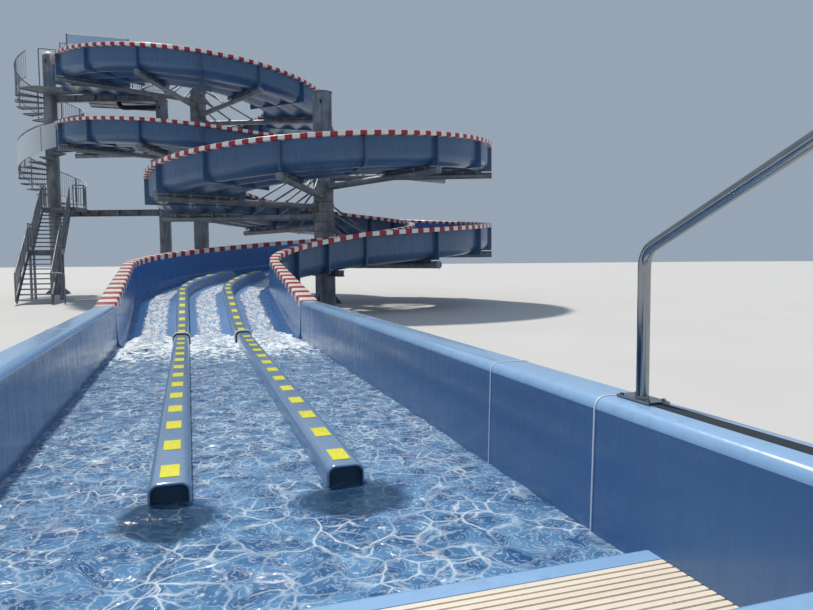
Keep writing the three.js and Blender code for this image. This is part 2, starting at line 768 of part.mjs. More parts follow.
// Start portal over the launch, and the screen beside it
{
  const y = DECK_Y0 + deckEdge;
  const [left, right] = [PORTAL_X - PORTAL_HALF, PORTAL_X + PORTAL_HALF];
  const [screenLeft, screenRight] = SCREEN_POSTS;
  const thick = PORTAL_BOARD.thick / 2;
  const upright = (x, top, size) => bar(at(x, y, DECK_RAIL), at(x, y, top), size);
  place(
    "start_portal",
    join([
      upright(left, PORTAL_TOP - 1, PORTAL_POST),
      upright(right, PORTAL_TOP - 1, PORTAL_POST),
      box(left, y - thick, PORTAL_TOP - PORTAL_BOARD.height, right, y + thick, PORTAL_TOP),
      upright(screenLeft, SCREEN_RAIL, RAIL_SIZE),
      upright(screenRight, SCREEN_TOP, RAIL_SIZE),
      bar(at(screenLeft, y, SCREEN_RAIL), at(screenRight, y, SCREEN_RAIL), RAIL_SIZE),
      bar(at(screenRight, y, SCREEN_TOP), at(left, y, SCREEN_TOP), RAIL_SIZE),
      bar(at(screenRight, y, DECK_RAIL + LOW_RAIL_UP), at(left, y, DECK_RAIL + LOW_RAIL_UP), RAIL_SIZE),
    ]),
    PALE_BOARD,
  );
}

// Straight stair in two flights, built along +Y from the head and then turned
function flight(bottomZ, headD) {
  const rise = LANDING_TOP / (2 * STAIR_RISERS);
  const run = STAIR_GOING * (STAIR_RISERS - 1);
  const half = STAIR_WIDTH / 2;
  const pieces = [];
  for (const side of [-1, 1]) {
    const x = side * (half - STRINGER / 2);
    const toe = at(x, -headD - run, bottomZ + rise / 2);
    const head = at(x, -headD, bottomZ + rise * (STAIR_RISERS - 1 / 2));
    const onward = toe.clone().sub(head).setLength(STRINGER_FOOT);
    const along = (up, size) => bar(toe.clone().add(at(0, 0, up)), head.clone().add(at(0, 0, up)), size);
    pieces.push(bar(toe.clone().add(onward), head, STRINGER, STRINGER_DEPTH));
    pieces.push(along(STAIR_RAIL_HEIGHT, RAIL_SIZE), along(STAIR_LOW_RAIL.up, STAIR_LOW_RAIL.size));
    for (let k = 0; k < STAIR_POSTS; k++) {
      const foot = toe.clone().lerp(head, (k + 1 / 8) / (STAIR_POSTS - 3 / 4));
      pieces.push(bar(foot, foot.clone().add(at(0, 0, STAIR_RAIL_HEIGHT)), INNER_POST));
    }
  }
  for (let i = 1; i < STAIR_RISERS; i++) {
    const y = -headD - run + STAIR_GOING * (i - 1);
    const z = bottomZ + rise * i;
    const edge = half - STRINGER / 4;
    pieces.push(box(-edge, y, z - TREAD_THICK, edge, y + STAIR_GOING - TREAD_GAP, z));
  }
  return pieces;
}

const onStair = (pieces, trims = []) =>
  cut(join(pieces), trims).rotateZ(STAIR_SKEW).translate(STAIR_HEAD.x, STAIR_HEAD.y, 0);

// Everything ahead of, behind or below a flight
const AWAY = 10000;
const aheadOf = (y) => box(-AWAY, y, -AWAY, AWAY, y + AWAY, AWAY);
const behind = (y) => box(-AWAY, y - AWAY, -AWAY, AWAY, y, AWAY);
const below = (z) => box(-AWAY, -AWAY, z - AWAY, AWAY, AWAY, z);

const MID_NEAR = -STAIR_GOING * (STAIR_RISERS - 1) - 2 * FLIGHT_CLEAR;
const MID_FAR = MID_NEAR - MID_LANDING_LENGTH;
place(
  "upper_stair_flight",
  onStair(flight(LANDING_TOP / 2, FLIGHT_CLEAR), [aheadOf(0), behind(MID_NEAR + FIT)]),
  GALVANISED,
);
place(
  "lower_stair_flight",
  onStair(flight(0, FLIGHT_CLEAR - MID_FAR), [aheadOf(MID_FAR - FIT), below(0)]),
  GALVANISED,
);

function landingLegs(half, y0, y1, top) {
  const pieces = [];
  for (const x of [-half, half])
    for (const y of [y0, y1]) pieces.push(bar(at(x, y, 0), at(x, y, top), LEG_SIZE));
  return pieces;
}

{
  const half = STAIR_WIDTH / 2;
  const top = LANDING_TOP / 2;
  const guardInset = 40;
  const sides = [-1, 1].flatMap((side) => {
    const x = side * (half - RAIL_SIZE / 2);
    return railing([at(x, MID_FAR + guardInset, top - 1), at(x, MID_NEAR - guardInset, top - 1)], LANDING_RAIL_HEIGHT);
  });
  place(
    "middle_landing",
    onStair([
      box(-half, MID_FAR, top - LANDING_THICK, half, MID_NEAR, top),
      ...landingLegs(half - LEG_INSET, MID_FAR + LEG_INSET, MID_NEAR - LEG_INSET, top - LANDING_THICK / 2),
      ...sides,
    ]),
    GALVANISED,
  );
}

// Upper landing: before the stair column and round its right side to the foot of the spiral stair. It lies
// over the beam with a thin plate.
{
  const x0 = STAIR_HEAD.x - STAIR_WIDTH / 2 - LEG_INSET;
  const x1 = STAIR_COLUMN.x + SPIRAL_RADIUS + LEG_INSET;
  const y0 = STAIR_HEAD.y + (STAIR_WIDTH / 2) * Math.sin(STAIR_SKEW) + FIT;
  const y1 = STAIR_COLUMN.y;
  const edge = RAIL_SIZE;
  const rail = LANDING_TOP - 1;
  const guardLeft = STAIR_HEAD.x + STAIR_WIDTH / 2 + 2 * edge;
  const guardLength = 620;
  const guards = [
    ...railing(
      [at(guardLeft, y0 + edge, rail), at(x1 - edge, y0 + edge, rail), at(x1 - edge, y0 + guardLength, rail)],
      LANDING_RAIL_HEIGHT,
      450,
    ),
    ...railing([at(x0 + edge, y0 + edge, rail), at(x0 + edge, y1 - THIN_RADIUS - 2 * edge, rail)], LANDING_RAIL_HEIGHT, 500),
  ];
  const roundEnd = [0, 1 / 3, 2 / 3, 1].map((t) => roundStair(SPIRAL_START * t, SPIRAL_RADIUS + LEG_INSET));
  const plan = [[x0, y0], [x1, y0], ...roundEnd, [STAIR_COLUMN.x, y1], [x0, y1]];
  const beamRoom = box(0, -BEAM_WIDTH / 2 - FIT, 0, AWAY, BEAM_WIDTH / 2 + FIT, LANDING_TOP - LANDING_PLATE);
  place(
    "upper_landing",
    cut(join([slab(plan, LANDING_TOP, LANDING_THICK), ...guards]), [
      roundColumn(STAIR_COLUMN, THIN_RADIUS + FIT, 0, 2 * LANDING_TOP),
      beamRoom.rotateZ(spanAngle).translate(STAIR_COLUMN.x, STAIR_COLUMN.y, 0),
    ]),
    GALVANISED,
  );
}

// Spiral stair: wedge treads on a sleeve round the column
const SPIRAL_RISE = (DECK_TOP - LANDING_TOP) / SPIRAL_STEPS;
const SPIRAL_PITCH = SPIRAL_TURN / SPIRAL_STEPS;
const treadTop = (angle) => LANDING_TOP + ((angle - SPIRAL_START) / SPIRAL_PITCH) * SPIRAL_RISE;

function sleeve(inner, outer, z0, z1) {
  const [a, b] = [inner, outer].map((r) => r / Math.cos(Math.PI / COLUMN_SIDES));
  const profile = [[a, z0], [b, z0], [b, z1], [a, z1], [a, z0]].map(([r, z]) => new THREE.Vector2(r, z));
  const bare = new THREE.LatheGeometry(profile, COLUMN_SIDES)
    .rotateX(QUARTER)
    .rotateZ(Math.PI / COLUMN_SIDES)
    .translate(STAIR_COLUMN.x, STAIR_COLUMN.y, 0);
  bare.deleteAttribute("normal");
  bare.deleteAttribute("uv");
  return facingOut(mergeVertices(bare, 1e-3));
}

{
  const inner = THIN_RADIUS + FIT;
  const root = inner + SPIRAL_SLEEVE / 2;
  const pieces = [sleeve(inner, inner + SPIRAL_SLEEVE, LANDING_TOP + TREAD_GAP, DECK_TOP)];
  for (let i = 0; i < SPIRAL_STEPS; i++) {
    const from = SPIRAL_START + SPIRAL_PITCH * i;
    const lap = i + 1 < SPIRAL_STEPS ? TREAD_LAP : -TREAD_GAP;
    const to = from + SPIRAL_PITCH + lap / SPIRAL_RADIUS;
    const wedge = slab(
      [
        roundStair(from, root),
        roundStair(from, SPIRAL_RADIUS),
        roundStair((from + to) / 2, SPIRAL_RADIUS + TREAD_GAP),
        roundStair(to, SPIRAL_RADIUS),
        roundStair(to, root),
      ],
      LANDING_TOP + SPIRAL_RISE * (i + 1),
      TREAD_THICK,
    );
    pieces.push(wedge);
  }
  place("spiral_stair", join(pieces), GALVANISED);
}

// Helical bar or band round the spiral stair, of the given width and height over the treads
function helix(from, to, radius, width, low, high) {
  const steps = Math.round((to - from) / SPIRAL_PITCH);
  const outline = [
    [radius - width / 2, low],
    [radius + width / 2, low],
    [radius + width / 2, high],
    [radius - width / 2, high],
  ].map(([r, z]) => new THREE.Vector2(r, z));
  const rings = [];
  for (let i = 0; i <= steps; i++) {
    const angle = from + ((to - from) * i) / steps;
    rings.push(
      outline.map((q) => {
        const [x, y] = roundStair(angle, q.x);
        return at(x, y, treadTop(angle) + SPIRAL_RISE + q.y);
      }),
    );
  }
  return loft(rings, outline);
}

{
  const radius = SPIRAL_RADIUS - SPIRAL_RAIL_INSET;
  const high = SPIRAL_RAIL_HEIGHT;
  const low = SPIRAL_LOW_RAIL;
  const cloth = radius + SPIRAL_RAIL_INSET;
  const post = (angle, foot) => {
    const [x, y] = roundStair(angle, radius);
    const head = treadTop(angle) + SPIRAL_RISE + high - RAIL_SIZE / 2;
    return bar(at(x, y, foot + FIT), at(x, y, head), INNER_POST);
  };
  const pieces = [
    helix(SPIRAL_RAIL_FROM, STAIR_HEAD_ANGLE, radius, RAIL_SIZE, high - RAIL_SIZE, high),
    helix(SPIRAL_START, STAIR_HEAD_ANGLE, radius, low.depth, low.up, low.up + low.depth),
    helix(BANNER.from, BANNER.to, cloth, BANNER.thick, BANNER.up, high - BANNER.under),
    post(SPIRAL_RAIL_FROM + RAIL_SIZE / radius, LANDING_TOP),
  ];
  for (let i = 0; i < SPIRAL_STEPS; i += 2)
    pieces.push(post(SPIRAL_START + SPIRAL_PITCH * (i + 0.5), LANDING_TOP + SPIRAL_RISE * (i + 1)));
  place("spiral_railing", join(pieces), GALVANISED);
}

// Water feed: a black pipe up behind the platform column and along under the deck to the launch
{
  const away = at(-span.y, span.x, 0).normalize();
  const unit = span.clone().normalize();
  const offset = THIN_RADIUS + PIPE_RADIUS + PIPE_FROM_COLUMN;
  const riser = at(PLATFORM_COLUMN.x, PLATFORM_COLUMN.y, 0).addScaledVector(away, offset);
  const corner = riser.clone().setZ(BEAM_TOP - BEAM_DEPTH - PIPE_UNDER_BEAM);
  const outlet = corner.clone().addScaledVector(unit, -PIPE_RUN);
  const up = at(0, 0, 1);
  const curve = new THREE.CurvePath();
  const leg = (a, b) => curve.add(new THREE.LineCurve3(a, b));
  const elbow = (a, b, c) => curve.add(new THREE.QuadraticBezierCurve3(a, b, c));
  const from = (point, way, d) => point.clone().addScaledVector(way, d);
  leg(riser.clone().setZ(BASE_PLATE_THICK + FIT), from(corner, up, -PIPE_BEND));
  elbow(from(corner, up, -PIPE_BEND), corner, from(corner, unit, -PIPE_BEND));
  leg(from(corner, unit, -PIPE_BEND), from(outlet, unit, PIPE_BEND));
  elbow(from(outlet, unit, PIPE_BEND), outlet, from(outlet, up, PIPE_BEND));
  leg(from(outlet, up, PIPE_BEND), outlet.clone().setZ(BEAM_TOP - FIT));
  place("feed_pipe", tubeAlong(curve, PIPE_RADIUS, PIPE_SIDES, PIPE_STEPS), BLACK_PIPE);
}

function tubeAlong(curve, radius, sides, steps) {
  const frames = curve.computeFrenetFrames(steps, false);
  const outline = Array.from({ length: sides }, (_, k) => {
    const a = (2 * Math.PI * k) / sides;
    return new THREE.Vector2(radius * Math.cos(a), radius * Math.sin(a));
  });
  const rings = [];
  for (let i = 0; i <= steps; i++) {
    const p = curve.getPointAt(i / steps);
    rings.push(
      outline.map((q) => p.clone().addScaledVector(frames.normals[i], q.x).addScaledVector(frames.binormals[i], q.y)),
    );
  }
  return loft(rings, outline);
}

export default tower;
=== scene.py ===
"""Looks of a three-lane water slide tower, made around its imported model.

Metres, +Z up. The origin is the foot of the right main column and the run-out basin lies towards -Y.
A place on the slide is given by s, the length along its centreline from the launch, by u, how far to the
left of travel, and by v, how high over the rim.
"""

import math
import random
from functools import cache, partial

import bmesh
import bpy
from bpy.props import FloatProperty, FloatVectorProperty, IntProperty, PointerProperty
from mathutils import Matrix, Vector


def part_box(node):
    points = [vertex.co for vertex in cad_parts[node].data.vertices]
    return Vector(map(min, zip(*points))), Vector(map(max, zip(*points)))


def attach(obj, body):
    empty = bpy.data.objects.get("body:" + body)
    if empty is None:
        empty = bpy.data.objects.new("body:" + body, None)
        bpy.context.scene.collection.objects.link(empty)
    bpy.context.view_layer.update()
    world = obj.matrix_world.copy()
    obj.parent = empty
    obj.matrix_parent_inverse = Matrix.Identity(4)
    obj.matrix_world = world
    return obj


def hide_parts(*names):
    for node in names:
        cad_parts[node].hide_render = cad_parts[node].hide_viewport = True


bl_info = {
    "name": "Water slide tower",
    "version": (1, 0, 0),
    "blender": (4, 5, 0),
    "location": "3D View > Sidebar > Water slide",
    "description": "Builds the surfaces of a three-lane water slide tower around its packed model",
    "category": "Object",
}

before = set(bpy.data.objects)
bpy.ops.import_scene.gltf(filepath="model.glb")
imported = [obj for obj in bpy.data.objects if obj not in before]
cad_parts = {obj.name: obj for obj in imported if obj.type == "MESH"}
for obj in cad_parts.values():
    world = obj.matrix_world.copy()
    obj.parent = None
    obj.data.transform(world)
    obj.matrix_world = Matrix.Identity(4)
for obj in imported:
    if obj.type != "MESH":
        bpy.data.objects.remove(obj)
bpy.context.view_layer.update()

QUARTER = math.pi / 2
UP = Vector((0, 0, 1))


def linear(code):
    """An sRGB hex colour as linear red, green and blue."""
    parts = [int(code[i : i + 2], 16) / 255 for i in (1, 3, 5)]
    return tuple(c / 12.92 if c <= 0.04045 else ((c + 0.055) / 1.055) ** 2.4 for c in parts)


def length(name, description, default):
    return FloatProperty(name=name, description=description, default=default, unit="LENGTH", precision=3)


def angle(name, description, degrees):
    return FloatProperty(name=name, description=description, default=math.radians(degrees), subtype="ANGLE")


def colour(name, description, code):
    return FloatVectorProperty(
        name=name, description=description, default=linear(code), size=3, subtype="COLOR", min=0, max=1
    )


class SlideSizes(bpy.types.PropertyGroup):
    """Sizes of the slide, as built."""

    coil_radius: length("Coil radius", "Centreline radius of the two coils", 4.1)
    column_spacing: length("Column spacing", "Distance across between the two main columns", 3.65)
    launch_length: length("Launch", "Straight trough before the first coil", 2.0)
    reverse_radius: length("Reverse curve radius", "Centreline radius of the last curve", 3.93)
    chute_length: length("Chute", "Straight trough down into the basin", 3.57)
    rim_after_coils: length("Rim after the coils", "Height of the rim where the coils end", 2.08)
    coil_fall: FloatProperty(name="Coil fall", description="Fall of the coils for each metre", default=0.0967)
    rim_after_reverse: length("Rim after the curve", "Height of the rim where the chute begins", 1.343)
    rim_at_basin: length("Basin rim", "Height of the basin's coping", 0.764)
    trough_half: length("Trough half width", "Inside half width in the coils", 1.14)
    basin_half: length("Basin half width", "Inside half width of the basin", 1.26)
    lip_width: length("Lip", "Width of the rim in the coils", 0.18)
    coping_width: length("Coping", "Width of the basin's coping", 0.27)
    lip_height: length("Lip height", "Height of the rim's outer face", 0.11)
    wall: length("Wall", "Width of the trough's wall from inside to outside", 0.045)
    trough_depth: length("Depth", "Depth of the lanes under the rim", 0.8)
    chute_end_depth: length("Depth at the basin", "Depth of the lanes under the rim at the basin", 0.704)
    lane_rise: length("Lane ridge", "Height of the ridges between the lanes", 0.11)
    divider_rise: length("Divider height", "Height of the dividers over the lanes", 0.28)
    divider_fall: length("Divider fall", "Fall of the dividers along the basin", 0.035)
    divider_half: length("Divider half width", "Half the width of a divider", 0.098)
    divider_after: length("Divider start", "Where the dividers start on the reverse curve", 3.45)
    divider_taper: length("Divider tip", "Length of the dividers' tips", 0.3)
    block: length("Rim block", "Length of one red or white block of the rim", 0.18)
    flange: length("Flange", "How far a flange stands out from the wall", 0.125)
    mark_pitch: length("Mark spacing", "Distance between the marks on the dividers", 0.477)
    water_level: length("Water level", "Height of the water in the basin", 0.20)


class StairSizes(bpy.types.PropertyGroup):
    """Sizes of the columns, stairs and railings, as built."""

    landing_top: length("Landing", "Height of the upper landing", 3.75)
    deck_top: length("Deck", "Height of the launch deck", 8.8)
    width: length("Stair width", "Width of the straight stair", 1.1)
    going: length("Going", "Depth of a tread of the straight stair", 0.29)
    risers: IntProperty(name="Risers", description="Risers in each flight", default=11, min=2)
    skew: angle("Skew", "Turn of the straight stair", 2.94)
    head_x: length("Stair head X", "Place of the straight stair's head", -9.49)
    head_y: length("Stair head Y", "Place of the straight stair's head", 10.25)
    steps: IntProperty(name="Spiral steps", description="Treads of the spiral stair", default=26, min=2)
    spiral_radius: length("Spiral radius", "Radius of the spiral stair", 1.34)
    spiral_start: angle("Spiral start", "Angle of the first tread", 45)
    spiral_turn: angle("Spiral turn", "Angle from the first tread to the deck", 554)
    deck_rail: length("Deck railing", "Height of the railing round the deck", 1.3)
    landing_rail: length("Landing railing", "Height of the landings' railings", 1.0)
    stair_rail: length("Stair railing", "Height of the straight stair's handrails over the treads", 0.95)
    spiral_rail: length("Spiral railing", "Height of the spiral handrail over the treads", 1.3)
    bar_gap: length("Bar spacing", "Distance between the bars of a railing", 0.1)


class SlideColours(bpy.types.PropertyGroup):
    """Colours of the finishes."""

    # Painted light and shade: the troughs and basin are one gelcoat, given as lit and shaded copies. The
    # lanes and the coping show it in sun; the troughs' outside, their inside walls and the basin's walls show
    # it darkened as painted shade.
    shell: colour("Trough outside", "Gelcoat outside the troughs", "#3A5C82")
    sides: colour("Trough sides", "Gelcoat inside the troughs' walls", "#3F6DA6")
    lanes: colour("Lanes", "Gelcoat of the lanes, bleached by the sun", "#7CA4D6")
    wall: colour("Basin wall", "Gelcoat of the basin's walls", "#446A9A")
    coping: colour("Coping", "Gelcoat of the basin's coping", "#8FB7E2")
    divider: colour("Divider", "Gelcoat of the dividers", "#7593B6")
    red: colour("Rim red", "Red blocks of the rim", "#A81B2A")
    white: colour("Rim white", "White blocks of the rim", "#EDEBE6")
    mark: colour("Mark", "Marks on the dividers", "#F4F03A")
    zinc: colour("Zinc", "Galvanised steel", "#868E97")
    column: colour("Column", "Weathered zinc of the columns", "#7C8693")


def sizes():
    return bpy.context.scene.slide_sizes


def stairs():
    return bpy.context.scene.stair_sizes


def colours():
    return bpy.context.scene.slide_colours


# The slide's path


class Route:
    """The slide's centreline and its section at each place."""

    def __init__(self):
        z = self.z = sizes()
        circle = 4 * QUARTER * z.coil_radius
        self.legs = [
            {"name": "launch", "length": z.launch_length, "bend": 0.0},
            {"name": "left_coil", "length": 1.25 * circle, "bend": 1 / z.coil_radius},
            {"name": "crossover", "length": z.column_spacing, "bend": 0.0},
            {"name": "right_coil", "length": 1.5 * circle, "bend": -1 / z.coil_radius},
            {"name": "reverse", "length": QUARTER * z.reverse_radius, "bend": 1 / z.reverse_radius},
            {"name": "chute", "length": z.chute_length, "bend": 0.0},
        ]
        s = 0.0
        x = -z.column_spacing - z.coil_radius
        y = 2 * z.coil_radius + z.launch_length
        heading = -QUARTER
        for leg in self.legs:
            leg.update(start=s, x=x, y=y, heading=heading)
            x, y, heading = self.along(leg, leg["length"])
            s += leg["length"]
        self.end = s
        self.leg = {leg["name"]: leg for leg in self.legs}
        self.reverse = self.leg["reverse"]["start"]
        self.chute = self.leg["chute"]["start"]
        self.basin_x = x
        self.basin_y = y

    @staticmethod
    def along(leg, d):
        x, y, before, bend = (leg[key] for key in ("x", "y", "heading", "bend"))
        if bend == 0:
            return x + math.cos(before) * d, y + math.sin(before) * d, before
        heading = before + bend * d
        turned_x = (math.sin(heading) - math.sin(before)) / bend
        turned_y = (math.cos(heading) - math.cos(before)) / bend
        return x + turned_x, y - turned_y, heading

    def at(self, s):
        leg = next((g for g in reversed(self.legs) if s >= g["start"] - 1e-9), self.legs[0])
        return self.along(leg, s - leg["start"])

    def turned_back(self, s):
        """Share of the reverse curve that lies behind."""
        return (s - self.reverse) / (self.chute - self.reverse)

    def rim(self, s):
        z = self.z
        if s <= self.reverse:
            return z.rim_after_coils + (self.reverse - s) * z.coil_fall
        if s <= self.chute:
            return mix(z.rim_after_coils, z.rim_after_reverse, self.turned_back(s))
        return mix(z.rim_after_reverse, z.rim_at_basin, (s - self.chute) / z.chute_length)

    def depth(self, s):
        """Depth of the lanes under the rim. Down the chute the lanes curve to end level."""
        z = self.z
        t = (s - self.chute) / z.chute_length
        if t <= 0:
            return z.trough_depth
        t = min(t, 1.0)
        high = z.rim_after_reverse - z.trough_depth
        low = z.rim_at_basin - z.chute_end_depth
        slope = (z.rim_after_reverse - z.rim_after_coils) / (self.chute - self.reverse) * z.chute_length
        eased = 3 * t**2 - 2 * t**3
        return self.rim(s) - mix(high, low, eased) - slope * (t**3 - 2 * t**2 + t)

    def outer(self, s):
        """Half width out to the lip's edge."""
        z = self.z
        past = (s - self.reverse) / (self.end - self.reverse)
        return mix(z.trough_half + z.lip_width, z.basin_half + z.coping_width, past)

    def half(self, s):
        return mix(self.z.trough_half, self.z.basin_half, self.turned_back(s))

    def lane(self, s):
        """Distance from the middle to a ridge or divider."""
        z = self.z
        return mix(z.trough_half, z.basin_half, (s - self.reverse) / z.divider_after) / 3

    def point(self, s, u, v):
        x, y, heading = self.at(s)
        return Vector((x - math.sin(heading) * u, y + math.cos(heading) * u, self.rim(s) + v))

    def floor(self, s, u):
        """Height of the riders' surface over its deepest line, without the dividers."""
        lane = self.lane(s)
        past = abs(u) - 2 * lane
        if past > 0:
            a = math.asin(min(1.0, past / (self.half(s) - 0.02 - 2 * lane)))
            return INNER_FOOT_RISE * (1 - math.cos(a))
        return self.z.lane_rise * (1 - math.cos(math.pi * u / lane)) / 2

    @staticmethod
    def steps(start, end, pitch):
        count = max(1, round((end - start) / pitch))
        return [start + (end - start) * i / count for i in range(count + 1)]


def mix(a, b, t):
    return a + (b - a) * min(1.0, max(0.0, t))


# Making meshes


def oriented(origin, along, up=UP):
    """A frame at a point: X to the side, Y along a direction, Z as near up as it goes."""
    forward = Vector(along).normalized()
    side = forward.cross(up)
    if side.length < 1e-6:
        side = Vector((1, 0, 0))
    side.normalize()
    top = side.cross(forward)
    turn = Matrix((side, forward, top)).transposed().to_4x4()
    return Matrix.Translation(origin) @ turn


def upright(point, turn=0.0):
    """A frame at a point, turned about the upright."""
    return Matrix.Translation(point) @ Matrix.Rotation(turn, 4, "Z")


def ring_point(radius, angle):
    return radius * math.cos(angle), radius * math.sin(angle)


def circle(radius, sides):
    return [ring_point(radius, 4 * QUARTER * i / sides) for i in range(sides)]


def grid_faces(across, down):
    """Quads between rows of points, across + 1 in each row."""
    starts = [j * (across + 1) + i for j in range(down) for i in range(across)]
    return [[a, a + across + 1, a + across + 2, a + 1] for a in starts]


class Shape:
    """Gathers the faces of one piece."""

    def __init__(self):
        self.points = []
        self.faces = []
        self.index = []

    def add(self, points, faces, material=0):
        base = len(self.points)
        self.points += [Vector(p) for p in points]
        self.faces += [[base + i for i in face] for face in faces]
        self.index += material if isinstance(material, list) else [material] * len(faces)

    def sweep(self, rings, material=0, closed=True, caps=True):
        """Skin over a row of rings. material may be a function of the ring and the side."""
        count = len(rings[0])
        sides = count if closed else count - 1
        faces, index = [], []
        for r in range(len(rings) - 1):
            for i in range(sides):
                j = (i + 1) % count
                faces.append([r * count + i, r * count + j, (r + 1) * count + j, (r + 1) * count + i])
                index.append(material(r, i) if callable(material) else material)
        if closed and caps:
            last = (len(rings) - 1) * count
            faces += [list(range(count))[::-1], [last + i for i in range(count)]]
            ends = [material(0, 0), material(len(rings) - 2, 0)] if callable(material) else [material] * 2
            index += ends
        self.add([p for ring in rings for p in ring], faces, index)

    def prism(self, outline, thick, place=Matrix.Identity(4), material=0):
        """Plate with an outline in X and Z of its frame, thick along Y."""
        rings = [[place @ Vector((x, y, z)) for x, z in outline] for y in (-thick / 2, thick / 2)]
        self.sweep(rings, material)

    def slab(self, outline, low, high):
        self.sweep([[Vector((x, y, z)) for x, y in outline] for z in (low, high)])

    def box(self, low, high, place=Matrix.Identity(4), bevel=0.0):
        (x0, y0, z0), (x1, y1, z1) = low, high
        b = min(bevel, (x1 - x0) / 2.1, (z1 - z0) / 2.1)
        outline = [(x0, z0), (x1, z0), (x1, z1), (x0, z1)]
        if b > 0:
            outline = [
                (x0 + b, z0), (x1 - b, z0), (x1, z0 + b), (x1, z1 - b),
                (x1 - b, z1), (x0 + b, z1), (x0, z1 - b), (x0, z0 + b),
            ]
        self.prism(outline, y1 - y0, place @ Matrix.Translation((0, (y0 + y1) / 2, 0)))

    def block(self, half, low, high, place, bevel=0.0):
        """Box in the middle of its frame in X and Y."""
        self.box((-half[0], -half[1], low), (*half, high), place, bevel)

    def across(self, middle, half, profile):
        """Bar along X with a section given as (y, z)."""
        self.sweep([[Vector((middle + x, y, z)) for y, z in profile] for x in (-half, half)])

    def tube(self, start, end, radius, sides, material):
        place = oriented(start, Vector(end) - Vector(start))
        rings = []
        for p in (start, end):
            place.translation = Vector(p)
            rings.append([place @ Vector((x, 0, z)) for x, z in circle(radius, sides)])
        self.sweep(rings, material)

    def turned(self, centre, profile, sides=48, material=0):
        """Upright round form from pairs of radius and height."""
        rings = [
            [Vector((centre[0] + x, centre[1] + y, z)) for x, y in circle(max(radius, 1e-4), sides)]
            for radius, z in profile
        ]
        self.sweep(rings, material)

    def object(self, name, finishes, angle=35, closed=True):
        mesh = bpy.data.meshes.new(name)
        mesh.from_pydata(self.points, [], self.faces)
        mesh.polygons.foreach_set("material_index", self.index)
        clean(mesh, closed)
        smooth(mesh, angle)
        for name_of_finish in finishes:
            mesh.materials.append(material(name_of_finish))
        return placed(name, mesh)

    def piece(self, name, finishes, slot, nodes=(), angle=35, closed=True):
        return settle(self.object(name, finishes, angle, closed), slot, nodes)


def clean(mesh, closed=True):
    work = bmesh.new()
    work.from_mesh(mesh)
    bmesh.ops.remove_doubles(work, verts=work.verts, dist=1e-5)
    bmesh.ops.dissolve_degenerate(work, edges=work.edges, dist=1e-6)
    if closed:
        bmesh.ops.recalc_face_normals(work, faces=work.faces)
    work.to_mesh(mesh)
    work.free()


def smooth(mesh, angle):
    mesh.polygons.foreach_set("use_smooth", [True] * len(mesh.polygons))
    mesh.set_sharp_from_angle(angle=math.radians(angle))


def settle(made, slot, nodes=()):
    """Hands a finished object to the frame."""
    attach(made, "root")
    if nodes:
        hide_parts(*nodes)
    return made


# Node trees


def feed(node, inputs):
    """Fills a node's inputs with values or links. A list links all that it holds."""
    for key, value in inputs.items():
        for one in value if isinstance(value, list) else [value]:
            if isinstance(one, bpy.types.NodeSocket):
                node.id_data.links.new(one, node.inputs[key])
            else:
                node.inputs[key].default_value = one
    return node


def add(tree, kind, inputs, out=0, **settings):
    """Adds a node with its settings and inputs, and gives one of its outputs, or the node where out is None.

    A kind of the tree's own family is given without the family's name.
    """
    made = tree.nodes.new(kind if "Node" in kind else tree.bl_idname.replace("Tree", "") + kind)
    for key, value in settings.items():
        setattr(made, key, value)
    feed(made, inputs)
    return made if out is None else made.outputs[out]


def shape_tree(name, **wanted):
    """An empty Geometry Nodes tree with named inputs, each given as (kind, default)."""
    tree = bpy.data.node_groups.new(name, "GeometryNodeTree")
    tree.is_modifier = True
    tree.interface.new_socket("Geometry", in_out="INPUT", socket_type="NodeSocketGeometry")
    for label, (kind, default) in {**wanted, "Material": ("Material", None)}.items():
        socket = tree.interface.new_socket(label, in_out="INPUT", socket_type="NodeSocket" + kind)
        if default is not None:
            socket.default_value = default
    tree.interface.new_socket("Geometry", in_out="OUTPUT", socket_type="NodeSocketGeometry")
    return partial(add, tree), tree.nodes.new("NodeGroupInput").outputs


def end_tree(node, geometry, given):
    """Ends a tree and gives it."""
    real = node("RealizeInstances", {0: geometry})
    painted = node("SetMaterial", {"Geometry": real, "Material": given["Material"]})
    return node("NodeGroupOutput", {0: painted}, None).id_data


def baked(made, tree, values, angle):
    """Runs a tree on an object and keeps the result as its plain mesh."""
    modifier = made.modifiers.new(tree.name, "NODES")
    modifier.node_group = tree
    for socket in tree.interface.items_tree:
        if socket.in_out == "INPUT" and socket.name in values:
            modifier[socket.identifier] = values[socket.name]
    bpy.context.view_layer.update()
    graph = bpy.context.evaluated_depsgraph_get()
    mesh = bpy.data.meshes.new_from_object(made.evaluated_get(graph))
    old = made.data
    made.modifiers.clear()
    made.data = mesh
    mesh.name = made.name
    bpy.data.meshes.remove(old)
    smooth(mesh, angle)
    return made


@cache
def copies_tree():
    """Copies of one shape on places that carry a turn."""
    node, given = shape_tree("Copies on places", Shape=("Object", None))
    turn = node("InputNamedAttribute", {"Name": "turn"}, data_type="FLOAT_VECTOR")
    turned = node("FunctionNodeEulerToRotation", {0: turn})
    shape = node("ObjectInfo", {"Object": given["Shape"], "As Instance": True}, out="Geometry")
    points = node("MeshToPoints", {"Mesh": given["Geometry"]})
    places = {"Points": points, "Instance": shape, "Rotation": turned}
    copies = node("InstanceOnPoints", places)
    return end_tree(node, copies, given)


